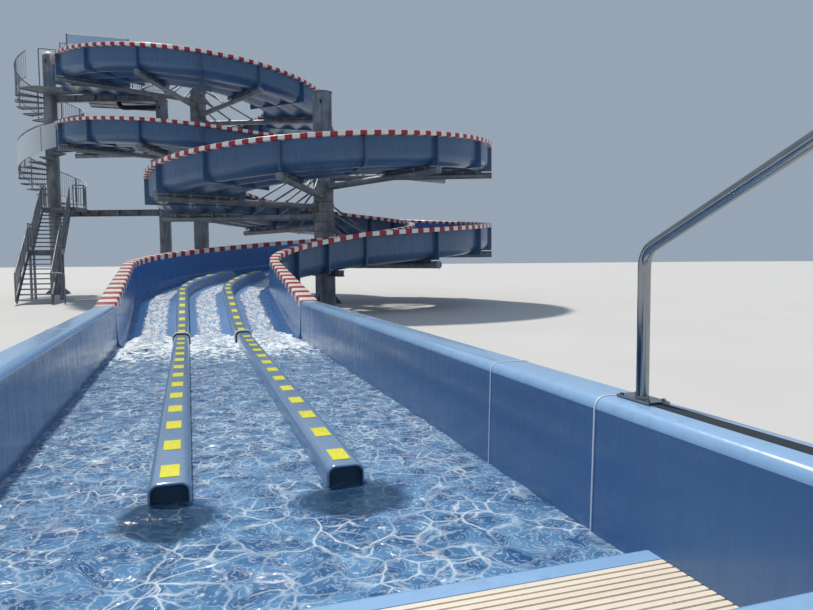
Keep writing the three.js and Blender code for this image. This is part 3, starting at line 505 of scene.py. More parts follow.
@cache
def bars_tree():
    """Round bars along edges, with their corners bent."""
    wanted = {"Radius": ("Float", 0.02), "Sides": ("Int", 8), "Bend": ("Float", 0.0)}
    node, given = shape_tree("Bars along lines", **wanted)
    line = node("MeshToCurve", {"Mesh": given["Geometry"]})
    inputs = {"Curve": line, "Count": 6, "Radius": given["Bend"], "Limit Radius": True}
    bent = node("FilletCurve", inputs, mode="POLY")
    inputs = {"Resolution": given["Sides"], "Radius": given["Radius"]}
    ring = node("CurvePrimitiveCircle", inputs)
    bars = node("CurveToMesh", {"Curve": bent, "Profile Curve": ring, "Fill Caps": True})
    return end_tree(node, bars, given)


@cache
def slats_tree():
    """A row of slats in even steps, each a little higher or lower than the next."""
    vectors = {name: ("Vector", None) for name in ("First", "Step", "Size")}
    node, given = shape_tree(
        "Slats", Count=("Int", 10), **vectors, Unevenness=("Float", 0.0006), Seed=("Int", 3)
    )
    inputs = {"Count": given["Count"], "Start Location": given["First"], "Offset": given["Step"]}
    row = node("MeshLine", inputs)
    drop = node("ShaderNodeMath", {0: given["Unevenness"], 1: -1.0}, operation="MULTIPLY")
    ends = {2: drop, 3: given["Unevenness"], "Seed": given["Seed"]}
    lift = node("FunctionNodeRandomValue", ends, out=1)
    offset = node("ShaderNodeCombineXYZ", {"Z": lift})
    moved = node("SetPosition", {"Geometry": row, "Offset": offset})
    slat = node("MeshCube", {"Size": given["Size"]})
    copies = node("InstanceOnPoints", {"Points": moved, "Instance": slat})
    return end_tree(node, copies, given)


@cache
def grating_tree():
    """Turns each face of a flat sheet into a cell of a perforated plate."""
    node, given = shape_tree("Perforated plate", Hole=("Float", 0.6), Thickness=("Float", 0.003))
    inputs = {"Mesh": given["Geometry"], "Offset Scale": 0.0, "Individual": True}
    cells, top, _ = node("ExtrudeMesh", inputs, None, mode="FACES").outputs
    inputs = {"Geometry": cells, "Selection": top, "Scale": given["Hole"]}
    drawn = node("ScaleElements", inputs, domain="FACE")
    open_sheet = node("DeleteGeometry", {"Geometry": drawn, "Selection": top}, domain="FACE")
    inputs = {"Mesh": open_sheet, "Offset Scale": given["Thickness"], "Individual": False}
    raised = node("ExtrudeMesh", inputs, mode="FACES")
    under = node("FlipFaces", {"Mesh": open_sheet})
    both = node("JoinGeometry", {0: [under, raised]})
    whole = node("MergeByDistance", {"Geometry": both, "Distance": 1e-5})
    return end_tree(node, whole, given)


def placed(name, mesh):
    """A new object in the scene."""
    made = bpy.data.objects.new(name, mesh)
    bpy.context.scene.collection.objects.link(made)
    return made


def copies(name, shape, places, finish_name, slot, angle):
    """One piece made of copies of a shape on places, which are matrices."""
    pattern = shape.object(name + "_pattern", [finish_name])
    mesh = bpy.data.meshes.new(name)
    mesh.from_pydata([m.translation for m in places], [], [])
    turns = mesh.attributes.new("turn", "FLOAT_VECTOR", "POINT")
    turns.data.foreach_set("vector", [c for m in places for c in m.to_euler()])
    values = {"Shape": pattern, "Material": material(finish_name)}
    made = baked(placed(name, mesh), copies_tree(), values, angle)
    bpy.data.objects.remove(pattern)
    return settle(made, slot)


def bars(name, lines, radius, finish_name, slot, sides, bend, nodes=()):
    """One piece of round bars along rows of points."""
    points, edges = [], []
    for line in lines:
        edges += [(len(points) + i, len(points) + i + 1) for i in range(len(line) - 1)]
        points += line
    mesh = bpy.data.meshes.new(name)
    mesh.from_pydata(points, edges, [])
    values = {"Radius": radius, "Sides": sides, "Bend": bend, "Material": material(finish_name)}
    return settle(baked(placed(name, mesh), bars_tree(), values, 40), slot, nodes)


def perforated(name, cells, hole):
    """One piece of galvanised plate, perforated, from quads that face up."""
    mesh = bpy.data.meshes.new(name)
    mesh.from_pydata(
        [p for cell in cells for p in cell], [], [[4 * k + i for i in range(4)] for k in range(len(cells))]
    )
    clean(mesh, False)
    values = {"Hole": hole, "Thickness": 0.004, "Material": material("galvanised steel")}
    return settle(baked(placed(name, mesh), grating_tree(), values, 35), "galvanised_steel")


# Finishes

EVEN = (1, 1, 1)
RUNS = (1, 1, 0.1)
TEXTURES = {
    "cloud": ("TexNoise", {"Detail": 4.0}, {}, "Fac"),
    "cells": ("TexVoronoi", {}, {}, "Color"),
    "weave": ("TexWave", {"Distortion": 0.3}, {"bands_direction": "Z"}, "Fac"),
}


def shade(rgb, factor):
    return tuple(min(1.0, c * factor) for c in rgb)


def bare(name, **sockets):
    """A material with its sockets set, the adder of its nodes, its shader and its texture coordinates."""
    made = bpy.data.materials.new(name)
    made.use_nodes = True
    surface = made.node_tree.nodes["Principled BSDF"]
    for key, value in sockets.items():
        surface.inputs[key.replace("_", " ")].default_value = value
    node = partial(add, made.node_tree)
    return made, node, surface, node("TexCoord", {}, None).outputs


def finish(name, tone, layers, **sockets):
    """A material of one tone with layers over it.

    A layer is (texture, size in metres, stretch, low, high, use, value). The texture is levelled between low
    and high. "tone" blends the colour towards value, "rough" the roughness, and "bump" lifts by value metres.
    """
    made, node, surface, places = bare(name, **sockets)
    tone = (*tone, 1.0)
    surface.inputs["Base Color"].default_value = tone
    normal = None
    for texture, size, stretch, low, high, use, value in layers:
        kind, inputs, settings, output = TEXTURES[texture]
        at = node("Mapping", {"Vector": places["Object"], "Scale": stretch})
        drawn = node(kind, {"Vector": at, "Scale": 1 / size, **inputs}, output, **settings)
        ends = {"Value": drawn, "From Min": low, "From Max": high}
        if use == "rough":
            ends.update({"To Min": sockets["Roughness"], "To Max": value})
        level = node("MapRange", ends)
        if use == "tone":
            tone = node("Mix", {0: level, 6: tone, 7: (*value, 1.0)}, data_type="RGBA", out=2)
            feed(surface, {"Base Color": tone})
        elif use == "rough":
            feed(surface, {"Roughness": level})
        else:
            before = {} if normal is None else {"Normal": normal}
            normal = node("Bump", {"Height": level, "Distance": value, **before})
            feed(surface, {"Normal": normal})
    return made


def gelcoat(name, rgb, rough, dull, wave=0.0005):
    """Polyester gelcoat from a polished mould: glossy, a little wavy, with dull rain marks."""
    layers = [
        ("cloud", 0.9, EVEN, 0.3, 0.7, "tone", shade(rgb, 1.12)),
        ("cloud", 0.05, RUNS, 0.5, 0.85, "tone", shade(rgb, dull)),
        ("cloud", 0.05, RUNS, 0.35, 0.8, "rough", rough * 1.8),
        ("cloud", 0.25, EVEN, 0, 1, "bump", wave),
    ]
    return finish(name, rgb, layers, Roughness=rough, Coat_Weight=0.35, Coat_Roughness=0.08)


def wet_gelcoat(name, rgb, rough, dull):
    """Gelcoat under water: the basin's own, a little brighter."""
    return gelcoat(name, shade(rgb, 1.1), rough, dull)


def pigmented(name, rgb, worn):
    """Pigmented gelcoat blocks and tape: glossy, chalked by sun and scuffed by feet."""
    layers = [
        ("cloud", 0.3, EVEN, 0.35, 0.75, "tone", shade(rgb, 0.9)),
        ("cloud", 0.02, EVEN, 0.6, 0.95, "tone", linear(worn)),
        ("cloud", 0.02, EVEN, 0.4, 0.8, "rough", 0.5),
        ("cloud", 0.02, EVEN, 0, 1, "bump", 0.0004),
    ]
    return finish(name, rgb, layers, Roughness=0.26, Coat_Weight=0.3)


def zinc_coat(name, rgb, stain, rough, metallic):
    """Hot-dip galvanised steel left outdoors: matt, a faint spangle, clouds, and dark and pale runs."""
    layers = [
        ("cells", 0.03, EVEN, 0.0, 1.0, "tone", shade(rgb, 1.25)),
        ("cloud", 0.35, EVEN, 0.4, 0.7, "tone", shade(rgb, 0.72)),
        ("cloud", 0.09, RUNS, 0.45, 0.8, "tone", linear(stain)),
        ("cloud", 0.05, RUNS, 0.62, 0.95, "tone", shade(rgb, 1.5)),
        ("cloud", 0.35, EVEN, 0.3, 0.7, "rough", rough * 1.3),
        ("cloud", 0.012, EVEN, 0, 1, "bump", 0.0003),
    ]
    return finish(name, rgb, layers, Roughness=rough, Metallic=metallic)


def plain(name, rgb, rough, grain=0.03, metallic=0.0):
    """Moulded or painted finish with a slight mottle."""
    layers = [
        ("cloud", grain, EVEN, 0.3, 0.7, "tone", shade(rgb, 1.15)),
        ("cloud", grain, EVEN, 0.3, 0.7, "rough", min(1.0, rough * 1.2)),
        ("cloud", grain, EVEN, 0, 1, "bump", 0.0002),
    ]
    return finish(name, rgb, layers, Roughness=rough, Metallic=metallic)


def stainless(name, rgb):
    """Stainless tube with a fine satin grind round it: it keeps clear bands of light along its length."""
    grain = ("cloud", 0.006, (1, 0.1, 0.1), 0.3, 0.7)
    layers = [(*grain, "tone", linear("#9CA1A6")), (*grain, "rough", 0.17), (*grain, "bump", 0.000004)]
    return finish(name, rgb, layers, Roughness=0.13, Metallic=1.0)


def slat_plastic(name, rgb):
    """Moulded polypropylene slats, bleached by the sun: matt cream, with dust in the grain."""
    layers = [
        ("cloud", 0.5, (0.15, 6, 1), 0.35, 0.65, "tone", linear("#E6DCCB")),
        ("cloud", 0.015, EVEN, 0.6, 0.95, "tone", linear("#A89A84")),
        ("cloud", 0.004, (0.1, 1, 1), 0, 1, "bump", 0.0004),
    ]
    return finish(name, rgb, layers, Roughness=0.6)


def mesh_cloth(name, rgb):
    """PVC-coated polyester mesh, nearly white: a plain weave, drawn at 40 mm so that it shows."""
    layers = [
        ("weave", 0.04, EVEN, 0.5, 1.3, "tone", linear("#A3B3C6")),
        ("weave", 0.04, EVEN, 0, 1, "bump", 0.001),
    ]
    return finish(name, rgb, layers, Roughness=0.7)


def pool_water(name, deep_tone):
    """Pool water stirred by the slide, with painted highlights and a painted shadow.

    Ripples gather the sun, painted as a web of thin white lines over mid-blue, close, and wide by the weir,
    where the water is calm. Thin painted highlight rings run round the ripples, foam lies by the chute, and a
    painted shadow lies before the end of each divider.
    """
    made, node, surface, places = bare(name, Roughness=0.07, IOR=1.33)
    place = places["Object"]
    calm_from, calm_to, foam_from, foam_to = -17.4, -18.4, -14.2, -12.3
    y = node("SeparateXYZ", {0: place}, out="Y")
    bent = place
    swirls = ((0.45, 0.2), (0.12, 0.07), (0.04, 0.015))
    for size, reach in swirls:
        push = node("TexNoise", {"Vector": bent, "Scale": 1 / size}, out="Color")
        inputs = {0: push, 1: (reach, reach, reach), 2: bent}
        bent = node("VectorMath", inputs, operation="MULTIPLY_ADD")
    fine = node("TexNoise", {"Vector": bent, "Scale": 8.0, "Detail": 5.0})
    calm = node("MapRange", {"Value": y, "From Min": calm_from, "From Max": calm_to})
    wild = node("Math", {0: 1.0, 1: calm}, operation="SUBTRACT")
    # Painted highlight: webs of thin white lines where the ripples gather the sun
    nets = ((0.055, 0.14, wild, 0.9), (0.13, 0.07, None, 0.85), (0.3, 0.03, calm, 1.0))
    lines = None
    for size, width, limit, most in nets:
        inputs = {"Vector": bent, "Scale": 1 / size}
        edge = node("TexVoronoi", inputs, feature="DISTANCE_TO_EDGE", out="Distance")
        inputs = {"Value": edge, "From Min": 0.0, "From Max": width, "To Min": most, "To Max": 0.0}
        net = node("MapRange", inputs)
        patchy = node("TexNoise", {"Vector": place, "Scale": 0.5 / size, "Detail": 2.0})
        shown = node("MapRange", {"Value": patchy, "From Min": 0.38, "From Max": 0.6})
        net = node("Math", {0: net, 1: shown}, operation="MULTIPLY")
        if limit is not None:
            net = node("Math", {0: net, 1: limit}, operation="MULTIPLY")
        lines = net if lines is None else node("Math", {0: lines, 1: net}, operation="MAXIMUM")
    # Painted highlight: thin white rings round the ripples
    turns = node("Math", {0: fine, 1: 75.0}, operation="MULTIPLY")
    rings = node("Math", {0: turns}, operation="SINE")
    rings = node("MapRange", {"Value": rings, "From Min": 0.55, "From Max": 1.0, "To Max": 0.4})
    lines = node("Math", {0: lines, 1: rings}, operation="MAXIMUM")
    tufts = node("TexNoise", {"Vector": place, "Scale": 11.0, "Detail": 9.0, "Roughness": 0.7})
    near = node("MapRange", {"Value": y, "From Min": foam_from, "From Max": foam_to, "To Max": 0.2})
    whole = node("Math", {0: tufts, 1: near}, operation="ADD")
    foam = node("MapRange", {"Value": whole, "From Min": 0.6, "From Max": 0.7})
    # White of the painted highlights and of the real foam together
    white = node("Math", {0: lines, 1: foam}, operation="MAXIMUM")
    deep = node("MapRange", {"Value": fine, "From Min": 0.36, "From Max": 0.6})
    tone = {0: deep, 6: (*deep_tone, 1), 7: (*linear("#72AADC"), 1)}
    body = node("Mix", tone, data_type="RGBA", out=2)
    tone = {0: white, 6: body, 7: (*linear("#EDF8FF"), 1)}
    body = node("Mix", tone, data_type="RGBA", out=2)
    # The bent coordinates lie this far off on average
    bend = 0.14
    route, end = Route(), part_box("basin_divider_left")[0].y
    # Painted shadow: a dark patch on the water before each divider's end, for the shadow that the divider
    # casts
    for side in (-1, 1):
        middle = (route.basin_x + side * route.z.basin_half / 3 + bend, end - 0.04, route.z.water_level)
        off = node("VectorMath", {0: bent, 1: middle}, operation="SUBTRACT")
        off = node("VectorMath", {0: off, 1: (0.8, 0.8, 0.0)}, operation="MULTIPLY")
        off = node("VectorMath", {0: off}, operation="LENGTH", out="Value")
        dark = node("MapRange", {"Value": off, "From Min": 0.2, "From Max": 0.15, "To Max": 0.85})
        tone = {0: dark, 6: body, 7: (*linear("#1F4262"), 1)}
        body = node("Mix", tone, data_type="RGBA", out=2)
    feed(surface, {"Base Color": body})
    for socket, mask, low, high in (("Alpha", white, 0.66, 0.95), ("Roughness", foam, 0.06, 0.6)):
        level = node("MapRange", {"Value": mask, "To Min": low, "To Max": high})
        feed(surface, {socket: level})
    lift = node("Bump", {"Height": fine, "Distance": 0.05, "Strength": 0.7})
    feed(surface, {"Normal": lift})
    return made


def running_water(name, thin_tone):
    """Water running down a lane: a pale sheet torn into white flecks. The piece's UV map gives the run."""
    made, node, surface, places = bare(name, Roughness=0.2, IOR=1.33)
    uv = places["UV"]
    flecks = (((6.0, 5.0, 1.0), 4.0), ((22.0, 16.0, 1.0), 5.0))
    torn = None
    for stretch, detail in flecks:
        at = node("Mapping", {"Vector": uv, "Scale": stretch})
        inputs = {"Vector": at, "Scale": 1.0, "Detail": detail, "Distortion": 0.6}
        fleck = node("TexNoise", inputs)
        torn = fleck if torn is None else node("Math", {0: torn, 1: fleck})
    across = node("SeparateXYZ", {0: uv}, out="X")
    off = node("Math", {0: across, 1: 0.5}, operation="SUBTRACT")
    off = node("Math", {0: off}, operation="ABSOLUTE")
    ragged = node("MapRange", {"Value": torn, "From Min": 0.7, "From Max": 1.3, "To Max": 0.16})
    off = node("Math", {0: off, 1: ragged}, operation="SUBTRACT")
    inner = node("MapRange", {"Value": off, "From Min": 0.4, "From Max": 0.3})
    white = node("MapRange", {"Value": torn, "From Min": 0.86, "From Max": 1.1})
    tone = {0: white, 6: (*thin_tone, 1), 7: (*linear("#FFFFFF"), 1)}
    feed(surface, {"Base Color": node("Mix", tone, data_type="RGBA", out=2)})
    shown = node("MapRange", {"Value": white, "To Min": 0.6, "To Max": 0.95})
    shown = node("Math", {0: shown, 1: inner}, operation="MULTIPLY")
    feed(surface, {"Alpha": shown})
    lift = node("Bump", {"Height": torn, "Distance": 0.01, "Strength": 0.8})
    feed(surface, {"Normal": lift})
    return made


def stage_paper(name, rgb):
    """Rolled background paper: matt, its tone all but even."""
    return finish(name, rgb, [("cloud", 3.0, EVEN, 0.3, 0.7, "tone", linear("#CDCECF"))], Roughness=0.9)


# Each finish by its common name: its maker, its colour as a field of SlideColours or a code, and what else
# the maker takes
RECIPES = {
    # Painted light and shade: lit and shaded copies of one gelcoat. The troughs' outside and inside walls and
    # the basin's walls are darkened as painted shade, and the lanes and coping are the sunlit copies.
    "trough gelcoat outside": (gelcoat, "shell", 0.32, 0.72),
    "trough gelcoat inside": (gelcoat, "sides", 0.2, 0.92),
    "trough lane gelcoat": (gelcoat, "lanes", 0.13, 0.9),
    "coping gelcoat": (gelcoat, "coping", 0.16, 0.88, 0.0008),
    "basin wall gelcoat": (gelcoat, "wall", 0.22, 0.93),
    "wet basin gelcoat": (wet_gelcoat, "wall", 0.15, 0.9),
    "divider gelcoat": (gelcoat, "divider", 0.18, 0.8),
    "red rim gelcoat": (pigmented, "red", "#8A2A30"),
    "white rim gelcoat": (pigmented, "white", "#B9B4AC"),
    "yellow lane tape": (pigmented, "mark", "#C9C12C"),
    "galvanised steel": (zinc_coat, "zinc", "#7B7A74", 0.48, 0.6),
    "weathered galvanised tube": (zinc_coat, "column", "#5C564F", 0.55, 0.25),
    "satin stainless steel": (stainless, "#8D9297"),
    "polypropylene slats": (slat_plastic, "#EFE6D8"),
    "coated mesh cloth": (mesh_cloth, "#E6EDF2"),
    # Laminate board with a pale coating: even and satin
    "coated board": (plain, "#A8BED2", 0.45, 0.4),
    # Extruded black pipe: waxy, even
    "black polyethylene": (plain, "#1B1C1E", 0.45, 0.2),
    # Moulded EPDM strip: dull and near black
    "black rubber": (plain, "#17181A", 0.8),
    # Silicone bead: satin, milky
    "white silicone": (plain, "#D7DEE6", 0.45, 0.02),
    # Moulded polypropylene: satin white
    "white cap plastic": (plain, "#F0F0EC", 0.35, 0.1),
    # Electroplated steel: brighter than the hot-dip zinc round it
    "zinc bolt": (plain, "#6C7680", 0.5, 0.02, 0.4),
    # Painted shade: dark slate for the unlit hollows behind slats, in slots and in holes, no shine
    # Painted shade: dark slate in the open ends of the dividers, for their unlit hollows, satin
    "dark gap": (plain, "#222B36", 0.9),
    # Moulded end plates of the dividers: dark, satin
    "slate end plate": (plain, "#2E4558", 0.5, 0.1),
    "pool water": (pool_water, "#2F66A0"),
    "running water": (running_water, "#A9D4FA"),
    "studio paper": (stage_paper, "#C9CACB"),
}


@cache
def material(name):
    """The finish of this name, made when it is first asked for."""
    maker, tone, *rest = RECIPES[name]
    return maker(name, linear(tone) if tone.startswith("#") else tuple(getattr(colours(), tone)), *rest)


# Sections of the trough

LIP_ROUND = 0.035
INNER_FOOT_RISE = 0.24
OUTER_FOOT_RISE = 0.27
SHELL_UNDER_LANE = 0.05
FLANGE_UNDER_SHELL = 0.012
FLANGE_FROM_END = 0.02
FLANGE_CORNER = 0.03
SHELL_PITCH = 0.2
LANE_POINTS = 16
FOOT_POINTS = 6


def arc(across, up, out, rise, count):
    """Quarter round as (u, v) from an upright side at (across, up) inwards by out and upwards by rise."""
    steps = [QUARTER * i / count for i in range(count + 1)]
    return [(across - out * (1 - math.cos(a)), up + rise * math.sin(a)) for a in steps]


def inner_half(route, s):
    """Right half of the surface that the riders see, from the middle to the top of the wall, as (u, v)."""
    half, lane, deep = route.half(s), route.lane(s), -route.depth(s)
    across = [2 * lane * i / LANE_POINTS for i in range(LANE_POINTS + 1)]
    foot = [math.sin(QUARTER * i / FOOT_POINTS) for i in range(1, FOOT_POINTS + 1)]
    across += [mix(2 * lane, half - 0.02, t) for t in foot]
    return [(u, deep + route.floor(s, u)) for u in across] + [(half, -LIP_ROUND)]


def outer_half(route, s):
    """Right half of the outside, from the top of the wall to the middle of the underside."""
    lane = route.lane(s)
    under = -route.depth(s) - SHELL_UNDER_LANE
    wall = route.half(s) + route.z.wall
    points = [(wall, -LIP_ROUND), (wall, under + OUTER_FOOT_RISE)]
    for i in range(1, FOOT_POINTS + 1):
        a = QUARTER * i / FOOT_POINTS
        points.append((mix(2 * lane, wall, math.cos(a)), under + OUTER_FOOT_RISE * (1 - math.sin(a))))
    half_points = LANE_POINTS // 2
    across = [2 * lane * (1 - i / half_points) for i in range(1, half_points + 1)]
    return points + [(u, under + route.floor(s, u)) for u in across]


def trough_outline(route, s):
    right = inner_half(route, s)
    outside = outer_half(route, s)
    left = [(-u, v) for u, v in right[:0:-1]]
    under = [(-u, v) for u, v in outside[:-1]]
    return left + right + outside + under[::-1]


def trough(route, node, start, end, name):
    """Fine shell of one trough section."""
    shape = Shape()
    places = route.steps(start, end, SHELL_PITCH)
    rings = [[route.point(s, u, v) for u, v in trough_outline(route, s)] for s in places]
    inside = 2 * len(inner_half(route, start)) - 2
    wall = FOOT_POINTS + 1
    # Painted light and shade: the lanes take the sunlit copy of the gelcoat, and the inside walls and the
    # outside take its darkened, painted-shade copies.
    shape.sweep(rings, lambda r, i: 1 if i >= inside else 0 if wall <= i < inside - wall else 2)
    finishes = ("trough lane gelcoat", "trough gelcoat outside", "trough gelcoat inside")
    return shape.piece(name, finishes, "trough_gelcoat", [node], 50)


def flange_places(route):
    """Places of the flanges: every 22.5 degrees of a curve, and at the ends of the straights."""
    places = [FLANGE_FROM_END]
    for leg, parts in zip(route.legs[1:], (20, 2, 24, 4, 3)):
        places += [leg["start"] + leg["length"] * k / parts for k in range(parts)]
    return places


class BuildTroughs(bpy.types.Operator):
    """Builds the glass-fibre shells of the slide from the launch to the basin"""

    bl_idname = "slide.troughs"
    bl_label = "Trough shells"

    def execute(self, context):
        route = Route()
        for leg in route.legs:
            stem = {"reverse": "reverse_curve"}.get(leg["name"], leg["name"])
            parts = 4 if leg["name"].endswith("coil") else 1
            for i in range(parts):
                start = leg["start"] + leg["length"] * i / parts
                end = leg["start"] + leg["length"] * (i + 1) / parts
                number = f"_{i + 1}" if parts > 1 else ""
                trough(route, f"{stem}_trough{number}", start, end, f"{stem}_shell{number}")
        return {"FINISHED"}


class BuildFlanges(bpy.types.Operator):
    """Builds the bolted flanges that join the shells, with flat feet and almost square corners"""

    bl_idname = "slide.flanges"
    bl_label = "Flanges"

    plate: length("Plate", "Thickness of one flange plate", 0.014)
    bolt_gap: length("Bolt spacing", "Distance between the bolts of a flange", 0.15)

    def execute(self, context):
        route = Route()
        shape = Shape()
        bolts = []
        lip = route.z.lip_height
        overlap, half_gasket = 0.01, 0.0015
        for s in flange_places(route):
            x, y, heading = route.at(s)
            place = upright((x, y, route.rim(s)), heading - QUARTER)
            edge = route.half(s) + route.z.wall + route.z.flange
            low = -route.depth(s) - SHELL_UNDER_LANE - FLANGE_UNDER_SHELL
            right = [(edge, -lip)] + arc(edge, low + FLANGE_CORNER, FLANGE_CORNER, -FLANGE_CORNER, 4)
            inner = [(max(0.0, u - overlap), v + FLANGE_UNDER_SHELL) for u, v in outer_half(route, s)]
            inner[0] = (inner[0][0], overlap - lip)
            outline = right + [(-u, v) for u, v in right[::-1]]
            hole = inner + [(-u, v) for u, v in inner[-2::-1]]
            for side in (-1, 1):
                shift = Matrix.Translation((0, side * (self.plate / 2 + half_gasket), 0))
                shape.prism(outline + hole[::-1], self.plate, place @ shift)
            bolts += self.bolt_places(place, right)
        shape.piece("trough_flanges", ["trough gelcoat outside"], "trough_gelcoat", angle=30)
        head = Shape()
        for side in (-1, 1):
            head.sweep([[(x, side * y, z) for x, z in circle(0.015, 6)] for y in (0.0, 2 * self.plate)])
        copies("flange_bolts", head, bolts, "zinc bolt", "galvanised_steel", 25)
        return {"FINISHED"}

    def bolt_places(self, place, right):
        """Bolts 35 mm inside the flange's edge."""
        inset = 0.035
        out, top, low = right[0][0] - inset, right[0][1], right[-1][1] + inset
        line = [Vector((x, 0, z)) for x, z in ((out, top), (out, low), (0, low))]
        rows = []
        for a, b in zip(line, line[1:]):
            count = round((b - a).length / self.bolt_gap)
            for k in range(count):
                p = a.lerp(b, (k + 0.6) / count)
                rows += [place @ Matrix.Translation((side * p.x, 0, p.z)) for side in (-1, 1)]
        return rows


def lip_outline(route, s, side):
    """Section of the rim as (u, v), with round edges."""
    coat, chamfer = 0.004, 0.012
    half, outer = route.half(s) - coat, route.outer(s) + 0.003
    low = -route.z.lip_height
    edge = arc(outer, coat / 2 - LIP_ROUND, LIP_ROUND, LIP_ROUND, 4)
    inside = [(half + outer - u, v) for u, v in edge]
    under = [(outer, low), (outer - chamfer, low - coat), (half + chamfer, low - coat)]
    return [(side * u, v) for u, v in [(half, low)] + inside + edge[::-1] + under]


class BuildRims(bpy.types.Operator):
    """Builds the red and white blocks along both edges of the trough"""

    bl_idname = "slide.rims"
    bl_label = "Rims"

    def execute(self, context):
        route = Route()
        for side, name in ((1, "left_rim"), (-1, "right_rim")):
            ends = self.block_ends(route, side)
            places = [s for a, b in zip(ends, ends[1:]) for s in (a, (a + b) / 2)] + [ends[-1]]
            shape = Shape()
            rings = [[route.point(s, u, v) for u, v in lip_outline(route, s, side)] for s in places]
            shape.sweep(rings, lambda r, i: (r // 2) % 2)
            shape.piece(name, ["white rim gelcoat", "red rim gelcoat"], "rim_white", angle=50)
        return {"FINISHED"}

    @staticmethod
    def block_ends(route, side):
        """Places along the path where the blocks meet, even along the rim itself."""
        fine, least = 0.01, 0.03
        places = route.steps(0.0, route.end, fine)
        spots = [route.point(s, side * (route.half(s) + route.outer(s)) / 2, 0) for s in places]
        ends, run = [0.0], 0.0
        for s, a, b in zip(places[1:], spots, spots[1:]):
            run += (b - a).length
            if run >= route.z.block:
                run -= route.z.block
                ends.append(s)
        return ends + [route.end] if route.end - ends[-1] > least else ends


# Basin

BASIN_FLOOR = 0.04
FOOT_ROUND = 0.06
COPING_ROUND = 0.075
COPING_INNER_ROUND = 0.05
BASIN_NODES = ("basin_head", "basin_middle", "basin_weir_section", "basin_exit_section")


def basin_outline(z):
    """Right half of the basin's section as (u, v), with the finish of each side.

    The finishes are floor, wall, coping and outside, counted from 0.
    """
    half, top, outer = z.basin_half, z.rim_at_basin, z.basin_half + z.coping_width
    lip, under, lean, turned_in = top - z.lip_height, 0.02, 0.015, 0.015
    foot = arc(half - lean, BASIN_FLOOR + FOOT_ROUND, FOOT_ROUND, -FOOT_ROUND, 5)[::-1]
    floor = [(half - 6 * FOOT_ROUND, BASIN_FLOOR)] + foot
    nose = arc(half, top - COPING_INNER_ROUND, -COPING_INNER_ROUND, COPING_INNER_ROUND, 6)
    back = arc(outer, top - COPING_ROUND, COPING_ROUND, COPING_ROUND, 6)[::-1]
    folded = outer - turned_in
    skirt = [(outer, lip), (folded, lip), (folded, lip + under), (half + z.wall, lip + under)]
    points = floor + nose + back + skirt + [(half + z.wall, 0.0)]
    finishes = [0] * (len(floor) - 1) + [1] + [2] * (len(nose) + len(back)) + [3] * len(skirt)
    return points, finishes


class BuildBasin(bpy.types.Operator):
    """Builds the basin's sections with their coping and sealed joints"""

    bl_idname = "slide.basin"
    bl_label = "Basin"

    joint: length("Joint", "Width of a sealed joint", 0.008)

    def execute(self, context):
        z = sizes()
        route = Route()
        right, finishes = basin_outline(z)
        outline = [(-u, v) for u, v in right[::-1]] + right
        index = finishes[::-1] + [0] + finishes + [3]
        # Painted shade: the walls and the outside take the gelcoat darkened, and the coping takes its sunlit
        # copy.
        names = ("wet basin gelcoat", "basin wall gelcoat", "coping gelcoat", "trough gelcoat outside")
        for node in BASIN_NODES:
            low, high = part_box(node)
            rings = [[Vector((route.basin_x + u, y, v)) for u, v in outline] for y in (high.y, low.y)]
            shape = Shape()
            shape.sweep(rings, lambda r, i: index[i])
            shape.piece(node + "_shell", names, "basin_gelcoat", [node], 40)
        self.joints(route, right, finishes)
        self.channel(route, z)
        return {"FINISHED"}

    def joints(self, route, right, finishes):
        """Silicone over the joints of the wall and coping."""
        bead = 0.003
        shape = Shape()
        line = [right[i] for i, kind in enumerate(finishes) if kind in (1, 2)]
        for y in [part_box(n)[0].y for n in BASIN_NODES[:3]]:
            for side in (-1, 1):
                raised, sunk = [], []
                for k, (u, v) in enumerate(line):
                    before, after = line[max(0, k - 1)], line[min(len(line) - 1, k + 1)]
                    run = (Vector(after) - Vector(before)).normalized() * bead
                    raised.append((side * (u - run.y), v + run.x))
                    sunk.append((side * (u + run.y), v - run.x))
                ends = (y - self.joint / 2, y + self.joint / 2)
                ring = raised + sunk[::-1]
                shape.sweep([[Vector((route.basin_x + u, e, v)) for u, v in ring] for e in ends])
        shape.piece("basin_joint_seals", ["white silicone"], "white_cap")

    def channel(self, route, z):
        """Slot along the right coping beyond the handrail's plate, drawn as a strip in painted shade."""
        start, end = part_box("coping_handrail")[1].y - 0.21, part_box("basin_exit_section")[0].y
        middle = route.basin_x + z.basin_half + z.coping_width / 2
        half, sunk, proud = 0.034, 0.006, 0.0015
        shape = Shape()
        shape.box((-half, end, -sunk), (half, start, proud), upright((middle, 0, z.rim_at_basin)))
        shape.piece("coping_channel", ["dark gap"], "black_polyethylene")


def divider_outline(half, low, top, corner=0.05):
    """Section of a divider as (u, v): upright sides and a flat top with round edges."""
    edge = arc(half, top - corner, min(corner, half * 0.9), corner, 6)
    return [(-half, low), (half, low)] + edge + [(-u, v) for u, v in edge[::-1]]


